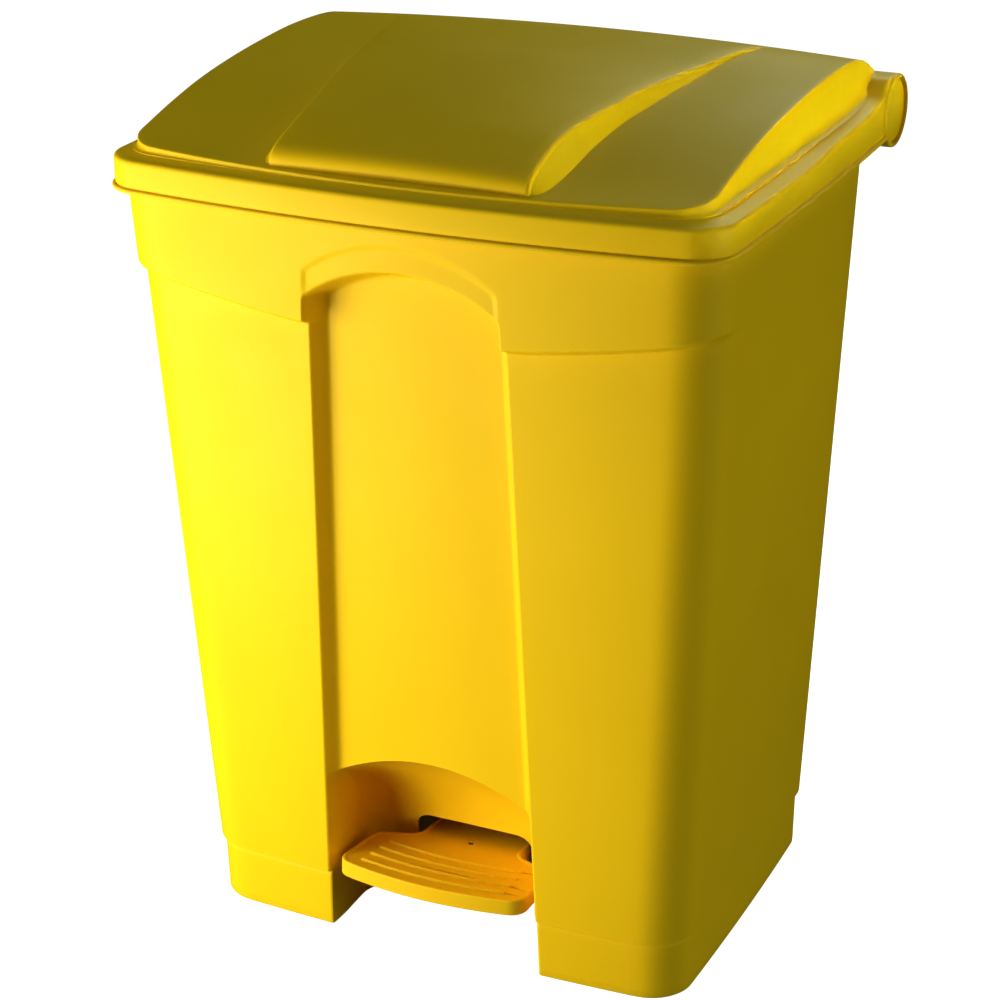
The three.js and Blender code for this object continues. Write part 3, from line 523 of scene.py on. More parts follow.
def screw_boss(name, x, y, z, length, axis):
    """A tapered boss with a rounded mouth, standing out from z or y."""
    profile = [(0, 0), (7, 0), (6.2, 1.2), (6, length - 0.8), (5.4, length), (0, length)]
    return lathe(name, profile, axis, (x, y, z), 28)


def hinge_lug(side):
    """An arm from the rear wall to an eye round the hinge rod."""
    arm = [(136, 575), (HINGE_Y - 18, HINGE_Z - 20), (HINGE_Y - 6, HINGE_Z - 9.2),
           (HINGE_Y - 2, HINGE_Z + 10.8), (HINGE_Y - 27, HINGE_Z - 3), (136, 620)]
    x0, x1 = side * LUG_X - 6, side * LUG_X + 6
    lug = slab("lug", arm, x0, x1, "x", 1.2)
    eye = lathe("eye", [(0, x0), (10.2, x0), (11, x0 + 0.8), (11, x1 - 0.8), (10.2, x1), (0, x1)],
                "x", (0, HINGE_Y, HINGE_Z), 40)
    return join(lug, eye)


def bearing_boss(x, y):
    """A boss turned upside down, from the tub's floor down to an axle bearing."""
    root = FLOOR_BOTTOM + 1
    boss = screw_boss("boss", x, y, 0, root - BEARING_BOSS_END, "z")
    boss.data.transform(Matrix.Translation((0, 0, root * MM)) @ Matrix.Rotation(math.pi, 4, "X")
                        @ Matrix.Translation((0, -2 * y * MM, 0)))
    return boss


def build_tub():
    """The hollowed skin with its lugs, bosses and pads, then the slots, the bore and the screw holes."""
    tub = tub_skin()
    cut(tub, tub_interior())
    cut(tub, tub_underside())
    additions = [hinge_lug(1), hinge_lug(-1)]
    cuts = [
        slab("arm_slot", rounded_slot(53, 75, -5, 14), NICHE_REAR - 20, NICHE_REAR + 9, "y"),
        slab("lever_slot", [(18, -22), (18, 22), (77.5, 22), (77.5, -22)], 130, 141, "y"),
        bore("rod_bore", ROD_BORE_RADIUS, -170, 170, "x", (0, HINGE_Y, HINGE_Z), 32),
    ]
    for side in (-1, 1):
        x = side * BEARING_SCREW_X
        for y in BEARING_SCREW_Y:
            additions.append(bearing_boss(x, y))
            cuts.append(bore("hole", SCREW_HOLE_RADIUS, 60, 80.5, "z", (x, y, 0), 20))
        x = side * GUIDE_SCREW_X
        for z in GUIDE_SCREW_Z:
            additions.append(screw_boss("boss", x, TUB_REAR - 1, z, 7, "y"))
            cuts.append(bore("hole", SCREW_HOLE_RADIUS, 138, 147, "y", (x, 0, z), 20))
        x = side * FOOT_PAD_X
        for y0, y1 in FOOT_PAD_SPANS:
            pad = [(x - 13, y0), (x + 13, y0), (x + 13, y1), (x - 13, y1)]
            additions.append(slab("pad", pad, 0.05, 6, "z", 0.8))
    for extra in additions:
        join(tub, extra)
    for tool in cuts:
        cut(tub, tool)
    tub.name = "tub_shell"
    clean(tub)
    return tub


# ---- lid ----

LEDGE_INNER_Z = 643.0
LID_HALF = 250.0
LID_FRONT = -213.1
LID_FRONT_BOW = 17.6
LID_SIDE_BOW = 3.5
LID_FRONT_RADIUS = 30.0
LEDGE_START = 6.0
LEDGE_WIDTH = 17.0
FRONT_LEDGE = 6.5
SIDE_LEDGE_RISE = 2.5
CROWN_RISE = 7.0
CROWN_DIP = 1.5
CROWN_INSET = 21.0
CROWN_HALF = LID_HALF - CROWN_INSET
CROWN_RADIUS = 24.0
CROWN_REAR = 204.0
# side profiles in (y, z)
CROWN = spline([
    (-215, 641), (-200, 645), (-190, 647), (-160, 653.4), (-120, 663), (-76, 671.6), (-30, 677.5),
    (17, 681.5), (68, 684), (120, 682.5), (150, 677.5), (170, 669.5), (184, 661), (195, 650), (206, 636),
], 8)
BONNET = [
    (-184, 637), (-190, 642), (-192.5, 648.5), (-191, 655), (-184.5, 660.8), (-174, 665.4),
    (-160, 670.2), (-140, 676.6), (-120, 681), (-90, 686.2), (-60, 690), (-30, 692.7), (15, 693.2),
    (65.6, 690), (116, 684.5), (150, 677.2), (158, 673),
]
BONNET_INSIDE = np.array([(158, 634.0), (60, 634.0), (-60, 634.0), (-150, 628.0), (-178, 606.0)])
BONNET_EDGE = 3.2
BONNET_DROP = 5.5
BONNET_SIDE_DOWN = 24.0
BONNET_SIDE_OUT = 20.0


def crown_z(y):
    """Height of the crown's side profile."""
    return np.interp(y, CROWN[:, 0], CROWN[:, 1])


def across_crown(x):
    """1 in the middle of the crown, falling to 0 at its side."""
    return 1 - np.minimum(1, (np.abs(x) / CROWN_HALF) ** 2)


def crown_rise(x, y):
    """The lid's top arches up across its width, towards the rear only."""
    along = smoothstep(30, 130, y) * (1 - smoothstep(160, 198, y))
    return CROWN_RISE * along * across_crown(x)


def crown_top(x, y):
    """Height of the crown: its side profile, arched at the rear and a little hollow in front."""
    along = smoothstep(-208, -150, y) * (1 - smoothstep(-110, 90, y))
    return crown_z(y) + crown_rise(x, y) - CROWN_DIP * along * across_crown(x)


def bonnet_half(y):
    """Half width of the raised panel: nearly parallel at its nose, then widening towards the rear."""
    return 102.5 + 0.205 * hinge_ramp(np.asarray(y, float) + 132, 30)


def bonnet_drop(x, y):
    """How far the raised panel's top falls away from its middle."""
    fall = BONNET_DROP * mix(0.3, 1, smoothstep(-170, -60, y)) * (1 - smoothstep(-20, 120, y))
    return fall * (x / bonnet_half(y)) ** 2


def barrel_top(y):
    """Height of the hinge barrel's upper front, carried on steeply in front of it."""
    ahead = np.minimum(np.abs(y - HINGE_Y), BARREL_RADIUS)
    return HINGE_Z + np.sqrt(BARREL_RADIUS ** 2 - ahead ** 2) - 2 * np.maximum(HINGE_Y - BARREL_RADIUS - y, 0)


def sweep(z, y):
    """Carries the ledge up over the barrel in one smooth curve."""
    blend = 4 + 22 * (1 - smoothstep(158, HINGE_Y, y))
    other = barrel_top(y)
    lifted = (z + other + np.sqrt((z - other) ** 2 + blend ** 2)) / 2
    return mix(z, lifted, smoothstep(95, 140, y))


def lid_ring(inset, z, rear, counts, follow):
    """A lid outline; where follow is true it rises with the shoulder, and over the barrel at the rear."""
    across = max(0.0, inset - LEDGE_START) / LEDGE_WIDTH
    front = LID_FRONT + min(inset, LEDGE_START) + across * FRONT_LEDGE
    x, y = plan_half(LID_HALF - inset, front, rear, max(LID_FRONT_RADIUS - inset * 0.6, 5), 3,
                     LID_FRONT_BOW, LID_SIDE_BOW, counts)
    z = np.full(len(x), float(z))
    if follow:
        shoulder = 4.5 * smoothstep(-40, 60, y) * (1 - smoothstep(7, 24, inset))
        z = sweep(z + shoulder + SIDE_LEDGE_RISE * min(across, 1) * smoothstep(-190, -120, y), y)
    return mirror_ring(np.stack([x, y, z], 1))


def lid_base(inset):
    """Lip, bead, skirt and ledge, or for an inset their hollow, as rings at (inset, height)."""
    t = inset
    if t == 0:
        counts = (44, 16, 60, 4, 16)
        level = [(1.5, 613.2), (0.5, 613.6), (0, 614.4), (0, 615.6), (0.3, 616.3), (1.0, 616.8), (2.5, 617),
                 (2.5, 617.6), (2.1, 618.2), (2.0, 620)]
        swept = [(2.0, 635.2), (2.15, 636.3), (2.7, 637.4), (3.6, 638.2), (4.7, 638.7), (6.0, 639),
                 (12, 640.2), (18, 641.6), (23, 642.8), (29, 643.2)]
    else:
        counts = (16, 8, 30, 2, 6)
        level = [(t + 2, 609), (t + 2, 622)]
        swept = [(t + 2, 634 - t), (t + 3.6, 637.6 - t), (t + 7, 639.3 - t), (t + 23, 642.8 - t)]
    rear = HINGE_Y - t
    rings = [lid_ring(i, z, rear, counts, False) for i, z in level]
    rings += [lid_ring(i, z, rear, counts, True) for i, z in swept]
    return ring_stack("lid_base", rings)


def lid_crown(inset):
    """The lid's arched top, or for an inset its hollow: a wall that flares out at its foot, then the top."""
    t = inset
    counts = (44, 12, 60, 4, 30) if t == 0 else (18, 6, 30, 2, 12)

    def outline(extra):
        front = LID_FRONT + LEDGE_START + FRONT_LEDGE + t + extra
        radius = max(CROWN_RADIUS - 0.5 * extra, 4)
        return plan_half(CROWN_HALF - t - extra, front, CROWN_REAR - extra, radius, 3,
                         LID_FRONT_BOW, LID_SIDE_BOW * 0.4, counts)

    x, y = outline(0)
    rings = [np.stack([x, y, np.full(len(x), 631.0)], 1)]
    if t == 0:
        floor = sweep(LEDGE_INNER_Z - 0.6 + SIDE_LEDGE_RISE * smoothstep(-190, -120, y), y)
        top = crown_top(x, y)
        flare = np.clip((top - floor - 1.5) * 0.55, 0, 7)
        wide_x, wide_y = outline(-1)
        for out, up in ((1.0, 0.0), (0.55, 0.14), (0.26, 0.37), (0.08, 0.66), (0.0, 1.0)):
            flare_x, flare_y = x + (wide_x - x) * flare * out, y + (wide_y - y) * flare * out
            rings.append(np.stack([flare_x, flare_y, floor + np.minimum(flare * up, top - floor - 1)], 1))
    rounded = [(0, 1.1), (0.12, 0.55), (0.5, 0.15), (1.1, 0)]
    inner = [(extra, 0) for extra in (4, 9, *range(16, 186, 8 if t == 0 else 24))]
    for extra, down in rounded + inner:
        x, y = outline(extra)
        rings.append(np.stack([x, y, crown_top(x, y) - t - down], 1))
    return ring_stack("lid_crown", [mirror_ring(ring) for ring in rings])


def lid_bonnet(inset):
    """Raised centre panel, or for an inset its hollow: its side profile swept across, with rounded edges.

    A layer is the profile at one distance from the middle. The outermost two are the feet of the sloping
    sides.
    """
    t = inset
    profile = spline(BONNET, 8 if t == 0 else 3)
    tangent = np.gradient(profile, axis=0)
    tangent /= np.linalg.norm(tangent, axis=1)[:, None]
    normal = np.stack([tangent[:, 1], -tangent[:, 0]], 1)
    top = profile + normal * t
    foot = profile + normal * t + (3, -BONNET_SIDE_DOWN)
    foot_half = bonnet_half(foot[:, 0]) + BONNET_SIDE_OUT - t
    turn = np.linspace(0, math.pi / 2, 6 if t == 0 else 3)
    edge = [(BONNET_EDGE * (1 - math.sin(a)), BONNET_EDGE * (1 - math.cos(a))) for a in turn]

    def edge_layers(side, order):
        lines = [(profile + normal * (down + t), back) for down, back in order]
        return [(line, (bonnet_half(line[:, 0]) - back - t) * side) for line, back in lines]

    middle = np.linspace(-1, 1, 25)[1:-1]
    layers = [(foot, -foot_half)]
    layers += edge_layers(-1, edge)
    layers += [(top, (bonnet_half(top[:, 0]) - BONNET_EDGE - t) * m) for m in middle]
    layers += edge_layers(1, edge[::-1])
    layers.append((foot, foot_half))
    rings = []
    for line, x in layers:
        lift = crown_rise(x, line[:, 0]) - bonnet_drop(x, line[:, 0])
        line = line + np.stack([np.zeros(len(line)), lift], 1)
        loop = np.concatenate([line, BONNET_INSIDE])
        width = np.concatenate([x, np.interp(BONNET_INSIDE[:, 0], line[:, 0], x)])
        rings.append(np.stack([width, loop[:, 0], loop[:, 1]], 1)[::-1])
    return ring_stack("lid_bonnet", rings)


def wedge(radius, start, end, x0, x1):
    """A sector round the hinge, from start to end in degrees, forwards being 0."""
    angle = np.radians(180 - np.linspace(start, end, 24))
    outline = [(HINGE_Y, HINGE_Z)]
    outline += [(HINGE_Y + radius * math.cos(a), HINGE_Z + radius * math.sin(a)) for a in angle]
    return slab("wedge", outline, x0, x1, "x")


def barrel(radius, half, round_off):
    """A cylinder along the hinge with rounded ends."""
    r = round_off
    turn = np.linspace(0, math.pi / 2, 6)
    profile = [(0, -half)]
    profile += [(radius - r + r * math.sin(a), -half + r - r * math.cos(a)) for a in turn]
    profile += [(radius - r + r * math.cos(a), half - r + r * math.sin(a)) for a in turn]
    profile.append((0, half))
    return lathe("barrel", profile, "x", (0, HINGE_Y, HINGE_Z), 72)


def build_lid():
    """Base, crown, panel and barrel in one, hollowed, with webs for the rod and cheeks for the lift pin."""
    pin_lo, pin_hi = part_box("lid_lift_pin")
    pin_y, pin_z = (pin_lo.y + pin_hi.y) / 2 / MM, (pin_lo.z + pin_hi.z) / 2 / MM
    lid = lid_base(0)
    join(lid, lid_crown(0))
    join(lid, lid_bonnet(0))
    join(lid, barrel(BARREL_RADIUS, BARREL_HALF, 2.2))
    cavity = lid_base(LID_WALL)
    join(cavity, lid_crown(LID_WALL))
    join(cavity, lid_bonnet(LID_WALL))
    cut(cavity, barrel(BARREL_RADIUS, BARREL_HALF + 2, 0.5))
    cut(lid, cavity)
    cut(lid, barrel(BARREL_RADIUS - LID_WALL, BARREL_HALF + 1, 0.2))
    opening = box_solid("opening", -242.5, 242.5, TUB_REAR - 6, HINGE_Y + 6, 560, HINGE_Z - 1)
    cut(opening, barrel(BARREL_RADIUS, BARREL_HALF + 2, 0.2))
    cut(lid, opening)
    cut(lid, wedge(BARREL_RADIUS + 12, 2, -130, -175, 175))
    for x in BARREL_WEB_X:
        for side in (-1, 1):
            join(lid, bore("web", 27.4, -1.5, 1.5, "x", (side * x, HINGE_Y, HINGE_Z), 72))
    cheek = [(pin_y - 7, pin_z - 4), (pin_y - 2, pin_z - 7.5), (pin_y + 5, pin_z - 4),
             (HINGE_Y - 10, HINGE_Z - 4), (HINGE_Y - 8, HINGE_Z + 8), (HINGE_Y + 4, HINGE_Z + 27),
             (HINGE_Y - 36, 652), (HINGE_Y - 36, 640)]
    for x0, x1 in ((4, 8), (-8, -4)):
        join(lid, slab("cheek", cheek, x0, x1, "x", 0.6, 2))
    cut(lid, bore("rod_bore", ROD_BORE_RADIUS, -238, 238, "x", (0, HINGE_Y, HINGE_Z), 32))
    cut(lid, bore("pin_bore", PIN_BORE_RADIUS, -12, 12, "x", (0, pin_y, pin_z), 32))
    lid.name = "lid_shell"
    clean(lid)
    return lid


def build_cap(side):
    """The disc that closes the barrel: a rounded rim round a slightly dished face."""
    name = "barrel_disc_right" if side > 0 else "barrel_disc_left"
    face = (BARREL_HALF - 2) * side
    profile = [(0, -0.9), (14, -0.75), (19.5, -0.45), (21.2, -0.15), (22, 0), (23.6, -0.1), (24.7, -0.8),
               (25.2, -1.9), (25.2, -7), (22.6, -7), (22.6, -3.6), (0, -3.6)]
    if side > 0:
        profile = profile[::-1]
    return lathe(name, [(r, side * h) for r, h in profile], "x", (face, HINGE_Y, HINGE_Z), 72)


# ---- pedal, in its own frame: the axle at the origin, tilted with the pedal ----

TILT = math.radians(-5.7)
TREAD_HALF = 81.5
TREAD_REAR_HALF = 78.5
TREAD_FRONT = -190.0
TREAD_BACK = -110.0
TREAD_TOP = 6.3
TREAD_THICK = 13.0
ARM_HALF = 45.0
ARM_END = -42.0
ARM_SCREW_Y = (-100, -62)
RIB_COUNT = 4
RIB_FIRST = 14.5
RIB_PITCH = 13.4


def quad_curve(a, b, c, steps):
    """A curve from a towards c, bent by b; its last point is left to the next curve."""
    t = (np.arange(steps) / steps)[:, None]
    a, b, c = np.array(a, float), np.array(b, float), np.array(c, float)
    return (1 - t) ** 2 * a + 2 * t * (1 - t) * b + t * t * c


def tread_outline():
    """The pedal's plan: a bowed front, rounded corners, and a narrower arm to the rear."""
    wide, rear, front, back = TREAD_HALF, TREAD_REAR_HALF, TREAD_FRONT, TREAD_BACK
    half = [
        quad_curve((0, front), (34, front), (wide - 12, front + 8.5), 14),
        quad_curve((wide - 12, front + 8.5), (wide - 0.5, front + 11.5), (wide, front + 24), 10),
        quad_curve((wide, front + 24), (mix(wide, rear, 0.5), back - 28), (rear, back - 16), 6),
        quad_curve((rear, back - 16), (rear - 0.5, back - 7), (rear - 7, back - 5), 6),
        quad_curve((rear - 7, back - 5), (rear - 14, back - 2.5), (ARM_HALF + 12, back + 1), 5),
        quad_curve((ARM_HALF + 12, back + 1), (ARM_HALF, back + 4), (ARM_HALF, back + 14), 8),
        quad_curve((ARM_HALF, back + 14), (ARM_HALF, -60), (ARM_HALF, ARM_END - 2), 8),
        quad_curve((ARM_HALF, ARM_END - 2), (ARM_HALF, ARM_END), (ARM_HALF - 2, ARM_END), 3),
    ]
    half = np.concatenate([*half, [[ARM_HALF - 2, ARM_END]]])
    other = half[1:][::-1] * (-1, 1)
    return np.concatenate([half, other])


def inset_loop(loop, distance):
    """Moves a closed anticlockwise loop inwards."""
    tangent = np.roll(loop, -1, 0) - np.roll(loop, 1, 0)
    tangent /= np.maximum(np.linalg.norm(tangent, axis=1), 1e-9)[:, None]
    return loop + np.stack([-tangent[:, 1], tangent[:, 0]], 1) * distance


def rib(row):
    """A half-round grip bar that follows the bow of the tread's front and sinks into it at both ends."""
    half = 66 - row * 1.2
    y = TREAD_FRONT + RIB_FIRST + row * RIB_PITCH
    floor = TREAD_TOP - 0.9
    section = np.linspace(0, math.pi, 9)[::-1]
    rings = []
    for s in np.linspace(-1, 1, 49):
        end = max(0.0, (abs(s) * half - half + 2.0) / 2.0)
        size = max(math.sqrt(max(0.0, 1 - end * end)), 0.1)
        centre = y + 6.5 * s * s
        ring = [(s * half, centre + 1.5 * size * math.cos(a), floor - 0.5 + 2.5 * size * math.sin(a))
                for a in section]
        ring += [(s * half, centre + 1.2 * size, floor - 1.1), (s * half, centre - 1.2 * size, floor - 1.1)]
        rings.append(ring)
    return ring_stack("rib", rings)


def tread_solid(name, levels):
    """Closed solid of the tread's outline at each (inset, height), capped with strips from side to side."""
    loop = tread_outline()
    count = len(loop)
    rings = [np.column_stack([inset_loop(loop, inset), np.full(count, z)]) for inset, z in levels]
    a = np.arange(count)
    b = (a + 1) % count
    faces = []
    for level in range(len(levels) - 1):
        low = level * count
        faces += np.stack([low + a, low + b, low + b + count, low + a + count], 1).tolist()
    cap = [[0, 1, count - 1]]
    cap += [[i, i + 1, count - i - 1, count - i] for i in range(1, count // 2)]
    faces += [face[::-1] for face in cap]
    faces += [[(len(levels) - 1) * count + i for i in face] for face in cap]
    return make(name, np.concatenate(rings), faces)


def build_pedal():
    """The tread with its raised rim and grip bars, hollow below, turned into its place on the axle."""
    bottom = TREAD_TOP - TREAD_THICK
    levels = [(0.9, bottom), (0.25, bottom + 0.3), (0, bottom + 1), (0, TREAD_TOP - 1.5),
              (0.2, TREAD_TOP - 0.7), (0.7, TREAD_TOP - 0.15), (1.4, TREAD_TOP), (2.4, TREAD_TOP),
              (2.9, TREAD_TOP - 0.2), (3.4, TREAD_TOP - 0.75), (4.0, TREAD_TOP - 0.9), (4.8, TREAD_TOP - 0.9)]
    pedal = tread_solid("pedal_moulding", levels)
    hollow = [(3.4, bottom - 1), (3.5, TREAD_TOP - 4.2), (4.1, TREAD_TOP - 3.4), (5.2, TREAD_TOP - 3)]
    cut(pedal, tread_solid("pedal_hollow", hollow))
    for row in range(RIB_COUNT):
        join(pedal, rib(row))
    cut(pedal, box_solid("skirt_gap", -21, 21, ARM_END - 8, ARM_END + 2, -8, TREAD_TOP - 3))
    for y in ARM_SCREW_Y:
        cut(pedal, bore("hole", SCREW_HOLE_RADIUS, -2, 9, "z", (0, y, 0), 24))
    clean(pedal)
    pedal.data.transform(Matrix.Translation((0, PIVOT_Y * MM, PIVOT_Z * MM)) @ Matrix.Rotation(TILT, 4, "X"))
    return pedal


def build_buffer(side):
    """The rubber stop under the lid, turned to the size of its CAD piece."""
    low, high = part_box("lid_buffer_right" if side > 0 else "lid_buffer_left")
    x, y = (low.x + high.x) / 2 / MM, (low.y + high.y) / 2 / MM
    z0, z1 = low.z / MM, high.z / MM
    profile = [(0, z0), (4.6, z0 + 0.05), (5.8, z0 + 0.5), (6.5, z0 + 1.3), (6.8, z0 + 2.4), (6.9, z1 - 1),
               (7, z1), (0, z1)]
    return lathe("lid_stop_right" if side > 0 else "lid_stop_left", profile, "z", (x, y, 0), 40)


# ---- materials ----

class Nodes:
    """Short names for building a node tree."""

    def __init__(self, name):
        self.material = bpy.data.materials.new(name)
        self.material.use_nodes = True
        self.tree = self.material.node_tree
        self.tree.nodes.clear()
        output = self.add("ShaderNodeOutputMaterial")
        self.shader = self.add("ShaderNodeBsdfPrincipled")
        self.link(self.shader.outputs[0], output.inputs[0])
        self.place = self.add("ShaderNodeTexCoord").outputs["Object"]

    def add(self, kind, **values):
        node = self.tree.nodes.new(kind)
        for key, value in values.items():
            setattr(node, key, value)
        return node

    def link(self, a, b):
        self.tree.links.new(a, b)

    def noise(self, scale, detail=2.0, roughness=0.5, stretch=None):
        node = self.add("ShaderNodeTexNoise")
        node.inputs["Scale"].default_value = scale
        node.inputs["Detail"].default_value = detail
        node.inputs["Roughness"].default_value = roughness
        source = self.place
        if stretch:
            mapping = self.add("ShaderNodeMapping")
            mapping.inputs["Scale"].default_value = stretch
            self.link(self.place, mapping.inputs["Vector"])
            source = mapping.outputs[0]
        self.link(source, node.inputs["Vector"])
        return node.outputs["Fac"]

    def spread(self, value, low, high, to_low, to_high):
        node = self.add("ShaderNodeMapRange")
        for index, number in ((1, low), (2, high), (3, to_low), (4, to_high)):
            node.inputs[index].default_value = number
        self.link(value, node.inputs[0])
        return node.outputs[0]

    def blend(self, factor, a, b):
        node = self.add("ShaderNodeMix", data_type="RGBA")
        self.link(factor, node.inputs[0])
        for socket, value in ((node.inputs[6], a), (node.inputs[7], b)):
            if isinstance(value, tuple):
                socket.default_value = (*value, 1)
            else:
                self.link(value, socket)
        return node.outputs[2]

    def bump(self, height, strength, distance, after=None):
        node = self.add("ShaderNodeBump")
        node.inputs["Strength"].default_value = strength
        node.inputs["Distance"].default_value = distance
        self.link(height, node.inputs["Height"])
        if after is not None:
            self.link(after, node.inputs["Normal"])
        return node.outputs[0]

    def edges(self, low, high):
        """1 on convex edges, 0 on flats."""
        point = self.add("ShaderNodeNewGeometry").outputs["Pointiness"]
        return self.spread(point, low, high, 0, 1)


def moulded_plastic(name, base, deep, pale, roughness):
    """Spark-textured moulding: cloudy pigment, fine grain, and convex edges paler, partly rub wear and partly a
    painted highlight.
    """
    n = Nodes(name)
    cloud = n.spread(n.noise(5.5, 3, 0.55), 0.32, 0.68, 0, 1)
    fleck = n.spread(n.noise(420, 2, 0.6), 0.35, 0.75, 0, 1)
    colour = n.blend(cloud, deep, base)
    colour = n.blend(n.spread(fleck, 0, 1, 0, 0.16), colour, deep)
    # pale convex edges: partly rub wear, partly a painted highlight along the edges
    edge = n.edges(0.515, 0.56)
    edge_patchiness = n.spread(n.noise(38, 4, 0.65), 0.45, 0.75, 0.1, 0.5)
    wear_and_highlight = n.add("ShaderNodeMath", operation="MULTIPLY")
    n.link(edge, wear_and_highlight.inputs[0])
    n.link(edge_patchiness, wear_and_highlight.inputs[1])
    colour = n.blend(wear_and_highlight.outputs[0], colour, pale)
    n.link(colour, n.shader.inputs["Base Color"])
    patch = n.noise(16, 3, 0.6)
    n.link(n.spread(patch, 0.3, 0.7, roughness - 0.05, roughness + 0.06), n.shader.inputs["Roughness"])
    n.shader.inputs["IOR"].default_value = 1.49
    n.shader.inputs["Specular IOR Level"].default_value = 0.16
    n.shader.inputs["Specular Tint"].default_value = (1.0, 0.78, 0.2, 1)
    grain = n.noise(950, 3, 0.6)
    sink = n.noise(7, 1, 0.4)
    normal = n.bump(sink, 0.35, 0.0016)
    normal = n.bump(grain, 0.22, 0.00028, normal)
    n.link(normal, n.shader.inputs["Normal"])
    return n.material


def plain_steel(name, base, dark, roughness, stretch):
    """Zinc plated steel: faint spangle, drawn lines and a few dull patches."""
    n = Nodes(name)
    cloud = n.spread(n.noise(60, 4, 0.6), 0.3, 0.7, 0, 1)
    colour = n.blend(cloud, dark, base)
    lines = n.noise(240, 3, 0.6, stretch)
    colour = n.blend(n.spread(lines, 0.35, 0.7, 0, 0.35), colour, dark)
    n.link(colour, n.shader.inputs["Base Color"])
    n.shader.inputs["Metallic"].default_value = 1.0
    n.link(n.spread(lines, 0.2, 0.8, roughness - 0.08, roughness + 0.12), n.shader.inputs["Roughness"])
    n.link(n.bump(lines, 0.12, 0.0002), n.shader.inputs["Normal"])
    return n.material


def dark_polymer(name, base, pale, roughness, grain_scale, grain_height):
    """Nylon or rubber: near black, finely grained, dusted grey on its edges."""
    n = Nodes(name)
    cloud = n.spread(n.noise(45, 3, 0.6), 0.35, 0.7, 0, 0.5)
    colour = n.blend(cloud, base, pale)
    edge = n.edges(0.52, 0.6)
    colour = n.blend(n.spread(edge, 0, 1, 0, 0.5), colour, pale)
    n.link(colour, n.shader.inputs["Base Color"])
    dull = n.spread(n.noise(80, 2, 0.5), 0.3, 0.7, roughness - 0.07, roughness + 0.07)
    n.link(dull, n.shader.inputs["Roughness"])
    n.link(n.bump(n.noise(grain_scale, 3, 0.6), 0.3, grain_height), n.shader.inputs["Normal"])
    return n.material


YELLOW = (0.88, 0.535, 0.006)
DEEP_YELLOW = (0.85, 0.51, 0.005)
# The pale edge colours, this one and the third of the pedal's: partly rub wear, partly a painted highlight.
WEAR_AND_HIGHLIGHT_YELLOW = (0.93, 0.64, 0.03)
PEDAL_COLOURS = (0.88, 0.50, 0.006), (0.84, 0.46, 0.005), (0.93, 0.62, 0.03)
MATERIALS = {
    "tub_plastic": moulded_plastic("tub_plastic", YELLOW, DEEP_YELLOW, WEAR_AND_HIGHLIGHT_YELLOW, 0.44),
    "lid_plastic": moulded_plastic("lid_plastic", YELLOW, DEEP_YELLOW, WEAR_AND_HIGHLIGHT_YELLOW, 0.41),
    "pedal_plastic": moulded_plastic("pedal_plastic", *PEDAL_COLOURS, 0.46),
    "dark_plastic": dark_polymer("dark_plastic", (0.03, 0.03, 0.032), (0.09, 0.09, 0.095), 0.5, 700, 0.0002),
    "rubber": dark_polymer("rubber", (0.018, 0.018, 0.018), (0.06, 0.06, 0.06), 0.75, 500, 0.0003),
    "lever_steel": plain_steel("lever_steel", (0.62, 0.64, 0.66), (0.40, 0.42, 0.44), 0.42, (1, 0.05, 1)),
    "bright_steel": plain_steel("bright_steel", (0.72, 0.73, 0.75), (0.50, 0.51, 0.53), 0.3, (1, 1, 1)),
}


def finish_piece(piece, body, slot, *nodes, crease=32):
    """Puts a piece on its body and in place of its CAD nodes, and shades it smooth up to the crease angle."""
    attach(piece, body)
    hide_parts(*nodes)
    piece.data.materials.clear()
    piece.data.materials.append(MATERIALS[slot])
    piece.data.shade_smooth()
    piece.data.set_sharp_from_angle(angle=math.radians(crease))


finish_piece(build_tub(), "tub_body", "tub_plastic", "tub")
finish_piece(build_lid(), "lid_body", "lid_plastic", "lid")
finish_piece(build_pedal(), "pedal_body", "pedal_plastic", "pedal", crease=11)
for side, word in ((-1, "left"), (1, "right")):
    finish_piece(build_cap(side), "lid_body", "lid_plastic", "hinge_cap_" + word)
    finish_piece(build_buffer(side), "lid_body", "rubber", "lid_buffer_" + word)

SLOT_OF = {row["node"]: row["material_slot"] for row in frame["record"]["subparts"]}
for name, node in frame["nodes"].items():
    if not node.hide_render:
        node.data.materials.clear()
        node.data.materials.append(MATERIALS[SLOT_OF[name]])


# ---- floor, light and camera, in metres ----

# Painted shadow: the box under the bin, (axis, middle, half size) in metres, where the floor's glow is switched
# off.
PAINTED_SHADOW_PATCH = ((0, 0.0, 0.185), (1, 0.034, 0.082))
PAINTED_SHADOW_SOFT = 0.02
FLOOR_REACH_MM = 30000.0
FLOOR_Z_MM = -0.2
CAMERA_AT = (0.8115, -1.7305, 1.1400)
CAMERA_ANGLES = (25.4004, 22.9913, -0.6601)
KEY_COLOUR = (1.0, 1.0, 0.9)


